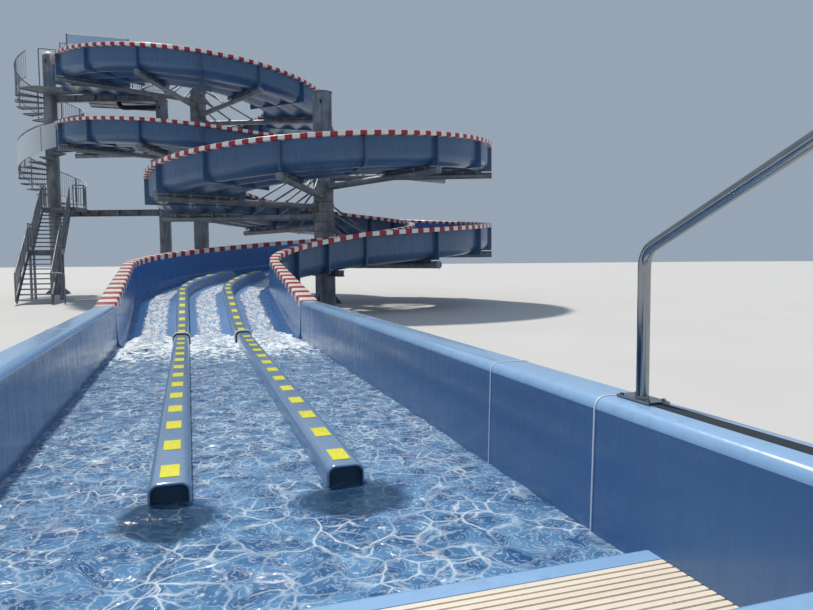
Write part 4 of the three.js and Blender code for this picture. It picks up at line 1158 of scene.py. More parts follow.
class BuildDividers(bpy.types.Operator):
    """Builds the two dividers from the reverse curve to the basin, with their rings and the yellow marks"""

    bl_idname = "slide.dividers"
    bl_label = "Dividers"

    wall: length("Divider wall", "Thickness of a divider at its open end", 0.013)
    sooner: length("Tip lead", "How far before the divided shell the tips begin", 0.3)
    mark_width: length("Mark width", "Width of a mark", 0.092)
    mark_length: length("Mark length", "Length of a mark", 0.195)

    def execute(self, context):
        self.z = sizes()
        self.route = Route()
        self.tip = self.route.reverse + self.z.divider_after - self.sooner
        for node, side in (("basin_divider_left", -1), ("basin_divider_right", 1)):
            self.low_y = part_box(node)[0].y
            self.basin_tube(node, side)
        self.chute_tubes()
        self.rings()
        self.marks()
        return {"FINISHED"}

    def top(self, y):
        """Height of the basin's dividers, which fall a little to their end."""
        high = self.z.rim_at_basin - self.z.chute_end_depth + self.z.divider_rise
        start = self.route.basin_y
        return mix(high, high - self.z.divider_fall, (start - y) / (start - self.low_y))

    def basin_ring(self, side, y, grow=0.0, low=BASIN_FLOOR + 0.001):
        x = self.route.basin_x + side * self.z.basin_half / 3
        outline = divider_outline(self.z.divider_half + grow, low, self.top(y) + grow, 0.05 + grow)
        return [Vector((x + u, y, v)) for u, v in outline]

    def basin_tube(self, node, side):
        """Tube with a rounded end and a dark plate set back in it: the plate and the mouth's sides are
        painted shade for the unlit hollow.
        """
        end, mouth = self.low_y, 0.03
        shape = Shape()
        ring = self.basin_ring
        outside = [ring(side, self.route.basin_y), ring(side, end + 0.02), ring(side, end + 0.006, -0.002)]
        core = ring(side, end, -self.wall, BASIN_FLOOR + self.wall)
        deep = [p + Vector((0, mouth, 0)) for p in core]
        shape.sweep(outside + [ring(side, end, -0.006), core], 0, caps=False)
        shape.sweep([core, deep], 1, caps=False)
        shape.add(deep, [list(range(len(deep)))], 1)
        shape.add(outside[0], [list(range(len(core)))], 0)
        finishes = ["divider gelcoat", "slate end plate"]
        shape.piece(node + "_tube", finishes, "basin_gelcoat", [node], 40)

    def chute_ring(self, side, s):
        """Section on the lanes' ridge, which rises and widens from the tip."""
        z, route = self.z, self.route
        t = math.sin(QUARTER * min(1.0, (s - self.tip) / z.divider_taper))
        deep = -route.depth(s)
        top = deep + mix(z.lane_rise - 0.01, z.divider_rise, t)
        lane = side * route.lane(s)
        outline = divider_outline(z.divider_half * mix(0.45, 1, t), deep + 0.03, top)
        return [route.point(s, lane + u, v) for u, v in outline]

    def chute_tubes(self):
        shape = Shape()
        nose = 6
        places = [self.tip + self.z.divider_taper * i / nose for i in range(nose)]
        start = self.tip + self.z.divider_taper
        count = round((self.route.end - start) / SHELL_PITCH)
        places += [start + (self.route.end - start) * i / count for i in range(count + 1)]
        for side in (-1, 1):
            shape.sweep([self.chute_ring(side, s) for s in places])
        shape.piece("chute_dividers", ["divider gelcoat"], "trough_gelcoat", angle=40)

    def rings(self):
        """Black, white and black bands where each divider meets the chute."""
        # Each band as (start, end, how proud it stands)
        black, white = ((-0.09, -0.02, 0.014), (0.05, 0.12, 0.012)), ((-0.02, 0.05, 0.024),)
        for name, finish_name, slot, bands in (
            ("divider_joint_rubber", "black rubber", "black_polyethylene", black),
            ("divider_joint_seal", "white cap plastic", "white_cap", white),
        ):
            shape = Shape()
            for side in (-1, 1):
                for *ends, proud in bands:
                    shape.sweep([self.basin_ring(side, self.route.basin_y - d, proud) for d in ends])
            shape.piece(name, [finish_name], slot)

    def marks(self):
        """Yellow marks on the flat tops, from just past the tips to the dividers' ends."""
        z, route = self.z, self.route
        first = self.tip + z.divider_taper + 0.12
        last = route.end + (route.basin_y - self.low_y) - 0.18
        count = int((last - first) / z.mark_pitch)
        runs = [last - k * z.mark_pitch for k in range(count + 1)]
        places = [self.mark_place(s, side) for side in (-1, 1) for s in runs if abs(s - route.end) > 0.2]
        shape = Shape()
        shape.block((self.mark_width / 2, self.mark_length / 2), -0.006, 0.003, Matrix.Identity(4), 0.002)
        copies("divider_marks", shape, places, "yellow lane tape", "lane_yellow", 35)

    def mark_place(self, s, side):
        z, route = self.z, self.route

        def crown(t):
            if t >= route.end:
                y = route.basin_y - (t - route.end)
                return Vector((route.basin_x + side * z.basin_half / 3, y, self.top(y)))
            return route.point(t, side * route.lane(t), z.divider_rise - route.depth(t))

        return oriented(crown(s), crown(s + 0.05) - crown(s - 0.05))


class BuildWater(bpy.types.Operator):
    """Builds the water in the basin and the streams that run down the lanes"""

    bl_idname = "slide.water"
    bl_label = "Water"

    cell: length("Cell", "Grid spacing of the water", 0.028)
    stream: FloatProperty(name="Stream", description="Share of a lane that the stream covers", default=0.62)

    def execute(self, context):
        self.route = Route()
        self.basin()
        self.streams()
        return {"FINISHED"}

    def basin(self):
        """Choppy surface: a sum of small waves, higher below the chute."""
        route, z = self.route, self.route.z
        start = route.chute
        while route.rim(start) - route.depth(start) > z.water_level:
            start += 0.02
        far = route.basin_y + (route.end - start)
        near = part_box("weir_grating")[1].y + 0.02
        across, down = round(2 * z.basin_half / self.cell), round((far - near) / self.cell)
        waves = random.Random(7)
        trains = []
        for _ in range(30):
            size, turn = waves.uniform(0.09, 0.5), waves.uniform(0, 4 * QUARTER)
            phase = waves.uniform(0, 4 * QUARTER)
            trains.append((*ring_point(4 * QUARTER / size, turn), phase, size**0.7))
        points = []
        for j in range(down + 1):
            y = mix(far, near, j / down)
            rough = 0.0022 * (1 + 2.5 * math.exp(-((y - route.basin_y + 0.6) ** 2) / 1.2))
            for i in range(across + 1):
                x = route.basin_x + (z.basin_half - 0.003) * (2 * i / across - 1)
                lift = sum(a * math.sin(kx * x + ky * y + phase) for kx, ky, phase, a in trains)
                points.append((x, y, z.water_level + lift * rough))
        shape = Shape()
        shape.add(points, grid_faces(across, down))
        shape.piece("basin_water", ["pool water"], "pool_water", angle=180, closed=False)

    def streams(self):
        """Thin sheets down the middle of the three lanes, with a UV map along the run."""
        route = self.route
        start, stop = route.reverse + 0.3, route.end + 0.6
        count, wide, apart = round((stop - start) / 0.06), 12, 7.3
        shape = Shape()
        uvs = []
        swell = random.Random(11)
        for n, lane in enumerate((-1, 0, 1)):
            phases = [swell.uniform(0, 4 * QUARTER) for _ in range(5)]
            points = []
            for j in range(count + 1):
                s = mix(start, stop, j / count)
                points += [self.stream_point(s, lane, 2 * i / wide - 1, phases) for i in range(wide + 1)]
                uvs += [(i / wide, s + n * apart) for i in range(wide + 1)]
            shape.add(points, grid_faces(wide, count))
        made = shape.object("running_water", ["running water"], 180, closed=False)
        layer = made.data.uv_layers.new(name="run")
        layer.data.foreach_set("uv", [c for face in shape.faces for i in face for c in uvs[i]])
        settle(made, "pool_water")

    def stream_point(self, s, side, across, phases):
        """Point of a stream over its lane; across runs from -1 to 1."""
        route, z = self.route, self.route.z
        inner = min(s, route.end)
        lane = route.lane(inner)
        reach = (lane - z.divider_half) * self.stream
        u = side * 2 * lane + reach * across
        deep = -route.depth(inner)
        rise = route.floor(inner, u)
        waves = [math.sin(s * (6 + 3.1 * k) + p + u * (9 + 4 * k)) for k, p in enumerate(phases)]
        ripple, thin, proud = 0.003 * sum(waves), 0.016, 0.012
        p = route.point(inner, u, deep + rise + ripple + thin * (2 - across * across))
        p.y -= max(0.0, s - route.end)
        if s > route.chute:
            p.z = max(p.z, z.water_level + proud + 2 * ripple)
        return p


class BuildWeir(bpy.types.Operator):
    """Builds the overflow grating, the edge beside it and the exit steps"""

    bl_idname = "slide.weir"
    bl_label = "Weir and steps"

    pitch: length("Slat spacing", "Distance between slats", 0.033)
    slat: length("Slat width", "Width of a slat", 0.0235)
    band: length("Edge", "Width of the smooth edge before the slats", 0.097)
    past: length("Reach", "How far the weir goes past its block on each side", 0.055)

    def execute(self, context):
        low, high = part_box("weir_grating")
        middle = (low.x + high.x) / 2
        half = (high.x - low.x) / 2 + self.past
        rounded, tray_depth, slat_thick, slat_drop = 0.03, 0.05, 0.026, 0.014
        edge = Shape()
        rest = 0.02 - self.band
        profile = [(0.0, low.z)] + arc(0.0, high.z - rounded, rounded, rounded, 6)
        under = high.z - rounded
        profile += [(-self.band, high.z), (-self.band, under), (rest, under), (rest, low.z)]
        edge.across(middle, half, [(high.y + y, v) for y, v in profile])
        edge.piece("weir_edge", ["coping gelcoat"], "basin_gelcoat", angle=40)
        run = high.y - self.band - low.y
        # Painted shade: a dark tray under the slats stands for the unlit hollow beneath them.
        tray = Shape()
        tray.box((middle - half, low.y, low.z), (middle + half, low.y + run, high.z - tray_depth))
        tray.piece("weir_tray", ["dark gap"], "basin_gelcoat", ["weir_grating"])
        mesh = bpy.data.meshes.new("weir_slats")
        values = {
            "Count": int(run / self.pitch),
            "First": (middle, high.y - self.band - self.pitch / 2, high.z - slat_drop),
            "Step": (0.0, -self.pitch, 0.0),
            "Size": (2 * half - 0.01, self.slat, slat_thick),
            "Material": material("polypropylene slats"),
        }
        settle(baked(placed("weir_slats", mesh), slats_tree(), values, 35), "beige_slats")
        self.steps(middle, half)
        return {"FINISHED"}

    def steps(self, middle, half):
        """Two closed steps with round noses."""
        low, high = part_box("exit_steps")
        nose, tread, lower = 0.03, 0.6, 0.26
        turn = low.y + tread
        shape = Shape()
        for y0, y1, level in ((low.y, turn + 0.02, lower), (turn, high.y, high.z)):
            far = arc(y1, level - nose, nose, nose, 5)
            near = [(y0 + y1 - y, v) for y, v in far[::-1]]
            shape.across(middle, half, [(y1, BASIN_FLOOR), *far, *near, (y0, BASIN_FLOOR)])
        shape.piece("exit_step_shell", ["coping gelcoat"], "basin_gelcoat", ["exit_steps"], 40)


# Columns and arms

MAIN_RADIUS, THIN_RADIUS = 0.305, 0.25
FOOT_PLATE = 0.035
ARM_RADIUS = 0.097
ARM_UNDER_RIM = 0.99
ARM_END = 1.3
COIL_COLUMNS = (("left_coil", "left_main_column", -1), ("right_coil", "right_main_column", 1))


def middle_of(node):
    low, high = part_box(node)
    return (low + high) / 2


class BuildColumns(bpy.types.Operator):
    """Builds the four columns with their foot plates, caps and collars"""

    bl_idname = "slide.columns"
    bl_label = "Columns"

    def execute(self, context):
        finishes = ("weathered galvanised tube", "white cap plastic", "dark gap")
        for name in ("right_main", "left_main", "stair", "platform"):
            node = name + "_column"
            radius = MAIN_RADIUS if "main" in name else THIN_RADIUS
            shape = Shape()
            self.shaft(shape, middle_of(node), radius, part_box(node)[1].z, domed=name == "stair")
            shape.piece(node + "_tube", finishes, "weathered_galvanised_column", [node], 40)
        self.collars(Route())
        return {"FINISHED"}

    def shaft(self, shape, centre, radius, top, domed):
        half_plate, lid, dome, overlap = 0.45, 0.03, 0.12, 0.01
        ground = upright((centre.x, centre.y, 0))
        shape.block((half_plate, half_plate), 0, FOOT_PLATE, ground, 0.006)
        end = top - (dome if domed else lid)
        shape.turned(centre, [(radius, FOOT_PLATE), (radius, end)])
        for k in range(4):
            self.gusset(shape, ground @ Matrix.Rotation(QUARTER * (k + 0.5), 4, "Z"), radius - overlap)
        if domed:
            skirt, seam = radius + 0.008, 0.001
            cap = [(skirt, end - lid)] + arc(skirt, end, skirt - seam, dome - seam, 8)
            shape.turned(centre, cap, 48, 1)
        else:
            shape.turned(centre, [(radius + 0.02, end), (radius + 0.02, top)])
        # Oval lifting hole near the top, seen from the front right: a dark plate in painted shade stands for
        # its unlit inside
        hole, squeeze, drop, thick = 0.075, 0.4, 0.32, 0.02
        turn = upright((centre.x, centre.y, end - drop), math.radians(-20))
        outline = [(squeeze * x, y) for x, y in circle(hole, 20)]
        shape.prism(outline, thick, turn @ upright((0, 0.006 - radius, 0)), 2)

    def gusset(self, shape, turn, inner):
        """Plate that stiffens the foot, with a bolt and its nut on each side."""
        out, toe, rise, thick, bolt_out = 0.6, 0.04, 0.3, 0.015, 0.5
        plan = [(inner, 0), (out, 0), (out, toe), (inner, rise)]
        shape.prism([(x, FOOT_PLATE + z) for x, z in plan], thick, turn)
        for spread in (-0.1, 0.1):
            bolt = turn @ Vector((bolt_out, spread, 0))
            for size, height, sides in ((0.032, 0.026, 6), (0.014, 0.06, 10)):
                shape.turned(bolt, [(size, FOOT_PLATE), (size, FOOT_PLATE + height)], sides)

    def collars(self, route):
        """Clamp bands where the arms meet the columns."""
        shape = Shape()
        inner, outer, half, chamfer = 0.304, 0.322, 0.15, 0.005
        band = [(inner, -half), (outer, chamfer - half), (outer, half - chamfer), (inner, half)]
        for leg_name, node, _ in COIL_COLUMNS:
            for s in arm_places(route, leg_name):
                height = route.rim(s) - ARM_UNDER_RIM
                shape.turned(middle_of(node), [(radius, height + z) for radius, z in band])
        shape.piece("column_collars", ["galvanised steel"], "galvanised_steel", angle=30)


def arm_places(route, leg_name):
    leg = route.leg[leg_name]
    pitch = QUARTER / 2 * route.z.coil_radius
    return [leg["start"] + pitch * (i + 0.5) for i in range(int(leg["length"] / pitch + 1e-6))]


class BuildArms(bpy.types.Operator):
    """Builds the cantilever arms that carry the coils, with their cradles and stays"""

    bl_idname = "slide.arms"
    bl_label = "Arms"

    def execute(self, context):
        route = Route()
        for leg_name, node, fall in COIL_COLUMNS:
            top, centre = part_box(node)[1].z, middle_of(node)
            shape = Shape()
            names = []
            for i, s in enumerate(arm_places(route, leg_name)):
                x, y, _ = route.at(s)
                height = route.rim(s) - ARM_UNDER_RIM
                place = upright((centre.x, centre.y, height), math.atan2(y - centre.y, x - centre.x))
                self.arm(shape, place, route, top - height, route.z.coil_fall * fall)
                names.append(f"{leg_name}_arm_{i + 1}")
            finishes = ("galvanised steel", "zinc bolt", "weathered galvanised tube")
            shape.piece(f"{leg_name}_arms", finishes, "galvanised_steel", names, 35)
        return {"FINISHED"}

    def arm(self, shape, place, route, room, lean):
        """An arm. The column goes on above it by room, and the trough falls across it by lean."""
        foot, middle = MAIN_RADIUS, route.z.coil_radius
        reach = middle + ARM_END

        def rod(a, b, radius, sides, finish_number=0):
            shape.tube(place @ Vector(a), place @ Vector(b), radius, sides, finish_number)

        rod((foot, 0, 0), (reach - 0.004, 0, 0), ARM_RADIUS, 24)
        rod((reach - 0.01, 0, 0), (reach + 0.01, 0, 0), 0.104, 28, 2)
        # Foot plate with four bolts
        flat = place @ Matrix.Rotation(QUARTER, 4, "Z")
        half, thick, bolt, shank, head = 0.145, 0.04, 0.115, 0.03, 0.065
        shape.box((-half, -foot - thick, -half), (half, -foot, half), flat, 0.01)
        for dx in (-bolt, bolt):
            for dz in (-bolt, bolt):
                rod((foot + shank, dx, dz), (foot + head, dx, dz), 0.02, 6, 1)
        # Cradle: a web on the tube, ribs, and a cap that leans with the trough
        top = ARM_UNDER_RIM - route.z.trough_depth - SHELL_UNDER_LANE
        web, cap, cap_width, half_rib, rib_reach = 1.0, 1.02, 0.13, 0.04, 0.075
        under, low, high = top - 0.01, top - 0.014, top - 0.002
        at = place @ upright((middle, 0, 0))
        shape.prism([(-web, 0.0), (web, 0.0), (web, under), (-web, under)], 0.02, at)
        slope = Matrix.Identity(4)
        slope[2][1] = lean
        shape.prism([(-cap, low), (cap, low), (cap, high), (-cap, high)], cap_width, at @ slope)
        for side in (-0.84, -0.4, 0.4, 0.84):
            shape.block((half_rib, rib_reach), -0.02, top - 0.012, at @ upright((side, 0, 0)), 0.004)
        # Stays, each a rod with a sleeve, fork plates at its ends and a plate on the column
        plate, lap, tip_half, fork_half, fork_thick = 0.065, 0.06, 0.03, 0.05, 0.016
        for out, rise in ((2.4, 1.3), (1.45, 0.85)):
            level = min(rise, room - plate)
            a, b = Vector((out, 0, ARM_RADIUS * 0.7)), Vector((foot + 0.05, 0, level))
            run = (b - a).normalized()
            rod(a + run * 0.12, b - run * 0.1, 0.03, 12)
            rod(a + run * 0.1, a + run * 0.17, 0.04, 12)
            for p, d in ((a, 0.2), (b, -0.17)):
                tip = p + run * d
                corners = ((p, -fork_half), (p, fork_half), (tip, tip_half), (tip, -tip_half))
                shape.prism([(q.x + dx, q.z) for q, dx in corners], fork_thick, place)
            shape.box((-plate, -foot - lap, level - plate), (plate, -foot, level + plate), flat, 0.006)


class BuildPost(bpy.types.Operator):
    """Builds the post with a crossbeam under the start of the reverse curve"""

    bl_idname = "slide.post"
    bl_label = "Reverse curve post"

    after: length("Place", "Distance from the reverse curve's start", 0.76)

    def execute(self, context):
        route = Route()
        x, y, heading = route.at(route.reverse + self.after)
        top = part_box("reverse_curve_trestle")[1].z
        place = upright((x, y, 0), heading - QUARTER)
        shape = Shape()
        radius, foot, half_foot = 0.205, 0.02, 0.3
        shape.turned((x, y), [(radius, foot), (radius, top - foot)], 40)
        shape.block((half_foot, half_foot), 0, foot, place, 0.004)
        # Crossbeam: two flanges, a web and stiffeners
        depth, half, reach, flange, half_web, clear = 0.16, 0.075, 0.95, 0.014, 0.006, 0.004
        for level in (top, top - depth + flange):
            shape.block((reach, half), level - flange, level, place, 0.003)
        shape.block((reach, half_web), top - depth, top, place)
        for k in (-0.9, -0.45, -0.22, 0.22, 0.45, 0.9):
            shape.block((half_web, half - clear), top - depth, top, place @ upright((k, 0, 0)))
        for k in range(4):
            turn = place @ Matrix.Rotation(QUARTER * (k + 0.5), 4, "Z")
            shape.prism([(0.2, foot), (0.38, foot), (0.2, 0.18)], 0.012, turn)
            shape.turned(turn @ Vector((0.34, 0.05, 0)), [(0.02, foot), (0.02, 0.045)], 6)
        tube = "weathered galvanised tube"
        shape.piece("reverse_curve_post", [tube], "galvanised_steel", ["reverse_curve_trestle"])
        return {"FINISHED"}


# Stairs and platform

RAIL_RADIUS = 0.024
TREAD_THICK = 0.004


def grid_cells(corners, across, down):
    """Quads that fill a four-cornered area, facing up when the corners run anticlockwise."""
    a, b, c, d = [Vector(p) for p in corners]

    def spot(i, j):
        return a.lerp(b, i / across).lerp(d.lerp(c, i / across), j / down)

    starts = [(i, j) for j in range(down) for i in range(across)]
    return [[spot(i, j), spot(i + 1, j), spot(i + 1, j + 1), spot(i, j + 1)] for i, j in starts]


def zinc_bars(name, groups, bend=0.0, nodes=()):
    """Galvanised bars of up to three kinds: handrails and posts, side rails, and the thin bars between."""
    kinds = (("_rails", RAIL_RADIUS, 12, bend), ("_stringers", 0.016, 8, 0.0), ("_bars", 0.0075, 6, 0.0))
    for (end, radius, sides, turn), lines in zip(kinds, groups):
        if lines:
            hidden = nodes if end == "_rails" else ()
            bars(name + end, lines, radius, "galvanised steel", "galvanised_steel", sides, turn, hidden)


def railing(name, rows, height, bay, nodes=()):
    """Railings along rows of points at their foot."""
    low, high, top = 0.145, height - 0.15, height - RAIL_RADIUS
    heavy, thin, light = [], [], []
    for points in rows:
        heavy.append([p + UP * top for p in points])
        thin += [[p + UP * h for p in points] for h in (low, high)]
        for a, b in zip(points, points[1:]):
            run = (b - a).length
            bays, count = max(1, round(run / bay)), max(1, round(run / stairs().bar_gap))
            posts = [a.lerp(b, k / bays) for k in range(bays + 1)]
            heavy += [[foot, foot + UP * top] for foot in posts]
            feet = [a.lerp(b, k / count) for k in range(1, count)]
            light += [[foot + UP * low, foot + UP * high] for foot in feet]
    zinc_bars(name, (heavy, thin, light), 0.05, nodes)


class BuildSpiralStair(bpy.types.Operator):
    """Builds the spiral stair round the stair column, with its railing and cloth screen"""

    bl_idname = "slide.spiral_stair"
    bl_label = "Spiral stair"

    def execute(self, context):
        t = self.t = stairs()
        self.centre = middle_of("stair_column")
        self.pitch = t.spiral_turn / t.steps
        self.rise = (t.deck_top - t.landing_top) / t.steps
        self.treads()
        self.rails()
        self.screen()
        return {"FINISHED"}

    def spot(self, angle, radius, z):
        x, y = ring_point(radius, angle)
        return Vector((self.centre.x + x, self.centre.y + y, z))

    def nosing(self, angle):
        """Height of the treads' line at an angle."""
        return self.t.landing_top + ((angle - self.t.spiral_start) / self.pitch + 1) * self.rise

    def treads(self):
        """Perforated treads in folded frames, on a sleeve round the column."""
        t = self.t
        inner, outer, change, inset = 0.306, t.spiral_radius - 0.02, 0.7, 0.012
        bore, sleeve, foot = THIN_RADIUS + 0.002, 0.272, t.landing_top + 0.02
        nose, half_thick, deep, proud = 0.02, 0.003, 0.045, 0.005
        cells = []
        frames = Shape()
        post = [(bore, foot), (sleeve, foot), (sleeve, t.deck_top), (bore, t.deck_top)]
        frames.turned(self.centre, post, 40)
        for i in range(t.steps):
            a0 = t.spiral_start + self.pitch * i
            a1 = a0 + self.pitch * (1.06 if i + 1 < t.steps else 0.96)
            z = t.landing_top + self.rise * (i + 1) - TREAD_THICK
            b0, b1 = a0 + inset, a1 - inset
            for r0, r1, across, down in ((inner, change, 6, 8), (change, outer, 10, 12)):
                corners = [self.spot(a, r, z) for a, r in ((b0, r0), (b0, r1), (b1, r1), (b1, r0))]
                cells += grid_cells(corners, down, across)
            root, edge = sleeve - 0.002, t.spiral_radius
            ring = ((a0, root), (a0, edge), ((a0 + a1) / 2, edge + nose), (a1, edge), (a1, root))
            spots = [self.spot(a, r, z) for a, r in ring]
            for a, b in zip(spots, spots[1:]):
                half = (b - a).length / 2
                frames.block((half_thick, half), -deep, proud, oriented((a + b) / 2, b - a))
        perforated("spiral_tread_plates", cells, 0.58)
        frames.piece("spiral_tread_frames", ["galvanised steel"], "galvanised_steel", ["spiral_stair"], 30)

    def rails(self):
        t = self.t
        radius = t.spiral_radius - 0.03
        first, end = math.radians(-8), t.spiral_start + t.spiral_turn
        top, side_rail = t.spiral_rail - 0.025, 0.205

        def helix(height, start):
            count = round(4 * (end - start) / self.pitch)
            angles = [mix(start, end, i / count) for i in range(count + 1)]
            return [self.spot(a, radius, self.nosing(a) + height) for a in angles]

        feet = [(first, t.landing_top)]
        for i in range(0, t.steps, 2):
            feet.append((t.spiral_start + self.pitch * (i + 0.5), t.landing_top + self.rise * (i + 1)))
        heavy = [helix(top, first)]
        heavy += [[self.spot(a, radius, z), self.spot(a, radius, self.nosing(a) + top)] for a, z in feet]
        count = int(t.spiral_turn * radius / t.bar_gap)
        angles = [mix(t.spiral_start, end, k / count) for k in range(count + 1)]
        light = [[self.spot(a, radius, self.nosing(a) + h) for h in (side_rail - 0.005, top)] for a in angles]
        zinc_bars("spiral", (heavy, [helix(side_rail, t.spiral_start)], light), 0.0, ["spiral_railing"])

    def screen(self):
        """Plain cloth tied to the outside of the bars, in two panels with thin dark seams.

        It billows between the ties.
        """
        radius = self.t.spiral_radius + 0.002
        low, high = 0.18, self.t.spiral_rail - 0.1
        heights = [mix(low, high, k / 5) for k in range(6)]
        turns = [math.radians(a) for a in (170, 262, 325)]
        thick, hem, billow, folds = 0.003, 0.004, 0.008, 14
        shape, seams = Shape(), Shape()
        for a0, a1 in zip(turns, turns[1:]):
            rings = []
            for k in range(folds + 1):
                a = mix(a0 + hem, a1 - hem, k / folds)
                reach = billow * math.sin(math.pi * k / 2) ** 2
                z = self.nosing(a)
                shares = [math.sin(math.pi * (h - low) / (high - low)) for h in heights]
                face = [(radius + reach * share, z + h) for h, share in zip(heights, shares)]
                back = [(r + thick, z) for r, z in face[::-1]]
                rings.append([self.spot(a, r, z) for r, z in face + back])
            shape.sweep(rings)
        for a in turns:
            place = oriented(self.spot(a, radius + thick, self.nosing(a)), (*ring_point(1, a), 0))
            seams.block((0.009, 0.004), low, high, place)
        shape.piece("screen_cloth", ["coated mesh cloth"], "banner_cloth", angle=60)
        seams.piece("screen_seams", ["black rubber"], "black_polyethylene")


class BuildStraightStair(bpy.types.Operator):
    """Builds the two straight flights and the landings"""

    bl_idname = "slide.straight_stair"
    bl_label = "Straight stair"

    def execute(self, context):
        t = self.t = stairs()
        self.place = Matrix.Translation((t.head_x, t.head_y, 0)) @ Matrix.Rotation(t.skew, 4, "Z")
        self.run = t.going * (t.risers - 1)
        self.rise = t.landing_top / 2 / t.risers
        near = self.run + 0.024
        far = near + 1.0
        self.flights = ((t.landing_top / 2, 0.012), (0.0, far + 0.012))
        self.plates = Shape()
        self.cells = []
        self.rows = []
        for bottom, head in self.flights:
            self.flight(bottom, head)
        self.middle_landing(near, far)
        self.upper_landing()
        nodes = ["upper_stair_flight", "lower_stair_flight", "middle_landing", "upper_landing"]
        self.plates.piece("stair_frames", ["galvanised steel"], "galvanised_steel", nodes, 30)
        perforated("stair_tread_plates", self.cells, 0.5)
        railing("landing_railing", self.rows, t.landing_rail, 0.5)
        self.stair_rails()
        return {"FINISHED"}

    def spot(self, x, d, z):
        return self.place @ Vector((x, -d, z))

    def nosing(self, d, bottom, head):
        """Height of the treads' line at a distance down a flight."""
        return bottom + self.rise * (0.5 + (head + self.run - d) / self.run * (self.t.risers - 1))

    def flight(self, bottom, head):
        t = self.t
        half = t.width / 2
        past_foot, over_ground = 0.19, 0.12
        for side in (-1, 1):
            x = side * (half - 0.02)
            low = Vector((x, -(head + self.run), self.nosing(head + self.run, bottom, head)))
            high = Vector((x, -head, self.nosing(head, bottom, head)))
            way = (high - low).normalized()
            low = low - way * past_foot
            if bottom == 0.0:
                low = low + way * max(0.0, (over_ground - low.z) / way.z)
            place = self.place @ oriented((low + high) / 2, high - low)
            reach = (high - low).length / 2
            half_web, half_flange, half_height, thick = 0.006, 0.03, 0.115, 0.012
            self.plates.block((half_web, reach), -half_height, half_height, place)
            for edge in (-half_height, half_height - thick):
                self.plates.block((half_flange, reach), edge, edge + thick, place)
        for i in range(1, t.risers):
            y = -(head + self.run) + t.going * (i - 1)
            z = bottom + self.rise * i
            x = half - 0.03
            nose, rim, back, deep, cell = 0.034, 0.01, 0.02, 0.04, 0.05
            self.tray(self.place, (-x, y), (x, y + t.going - back), z - deep, z, TREAD_THICK)
            self.grid(self.place, (rim - x, y + nose), (x - rim, y + t.going - back - 0.008), z, cell)
            self.plates.box((-x, y, z - 0.012), (x, y + nose, z), self.place)

    def tray(self, place, a, b, low, top, thick):
        """Upright strips round a rectangle."""
        (x0, y0), (x1, y1) = a, b
        across = [((x0, y), (x1, y + thick)) for y in (y0, y1 - thick)]
        along = [((x, y0), (x + thick, y1)) for x in (x0, x1 - thick)]
        for p, q in across + along:
            self.plates.box((*p, low), (*q, top), place)

    def grid(self, place, a, b, top, cell):
        """Cells of perforated plate over a rectangle."""
        (x0, y0), (x1, y1) = a, b
        plan = ((x0, y0), (x1, y0), (x1, y1), (x0, y1))
        corners = [place @ Vector((x, y, top - TREAD_THICK)) for x, y in plan]
        self.cells += grid_cells(corners, max(2, round((x1 - x0) / cell)), max(2, round((y1 - y0) / cell)))

    def landing_floor(self, a, b, top, place):
        (x0, y0), (x1, y1) = a, b
        deep, edge, cell, joist_gap, half_joist, under = 0.16, 0.012, 0.06, 0.5, 0.02, 0.006
        self.grid(place, (x0 + edge, y0 + edge), (x1 - edge, y1 - edge), top, cell)
        self.tray(place, a, b, top - deep, top, edge)
        joists = max(2, round((x1 - x0) / joist_gap))
        for k in range(1, joists):
            x = mix(x0, x1, k / joists)
            low_corner = (x - half_joist, y0 + edge, top - deep + half_joist)
            self.plates.box(low_corner, (x + half_joist, y1 - edge, top - under), place)

    def middle_landing(self, near, far):
        half, top = self.t.width / 2, self.t.landing_top / 2
        self.landing_floor((-half, -far), (half, -near), top, self.place)
        inset, edge = 0.06, 0.04
        for x in (inset - half, half - inset):
            for d in (near + inset, far - inset):
                for w, height, bevel in ((edge, top - 0.01, 0.004), (0.09, 0.012, 0.0)):
                    self.plates.box((x - w, -d - w, 0.0), (x + w, w - d, height), self.place, bevel)
        for x in (0.025 - half, half - 0.025):
            self.rows.append([self.spot(x, far - edge, top), self.spot(x, near + edge, top)])

    def upper_landing(self):
        """Before the stair column and round its right side to the foot of the spiral stair."""
        t = self.t
        column = middle_of("stair_column")
        low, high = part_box("upper_landing")
        flat = Matrix.Identity(4)
        clear = THIN_RADIUS + 0.006
        front = column.y - clear
        self.landing_floor((low.x, low.y), (high.x, front), t.landing_top, flat)
        # Round end beside the column
        reach = high.x - column.x
        turns = [t.spiral_start * k / 6 for k in range(7)]
        plan = [(column.x + x, column.y + y) for x, y in (ring_point(reach, a) for a in turns)]
        inner = column.x + clear
        plan = [(inner, front), (high.x, front), *plan, (inner, column.y + 0.2)]
        self.plates.slab(plan, t.landing_top - 0.03, t.landing_top)
        edge, short = 0.05, 0.62
        left, right, near = low.x + edge, high.x - edge, low.y + edge
        rows = [
            [(t.head_x + t.width / 2 + 2 * edge, near), (right, near), (right, low.y + short)],
            [(left, near), (left, front - 2 * edge)],
        ]
        self.rows += [[Vector((x, y, t.landing_top)) for x, y in row] for row in rows]

    def stair_rails(self):
        """Handrails, side rails and dense bars of the two flights, and the return at the foot."""
        t = self.t
        heavy, thin, light = [], [], []
        for bottom, head in self.flights:
            foot, top = head + self.run, head + 0.01
            for side in (-1, 1):
                x = side * (t.width / 2 - 0.022)

                def up(share, lift):
                    d = mix(foot, top, share)
                    return self.spot(x, d, self.nosing(d, bottom, head) + lift)

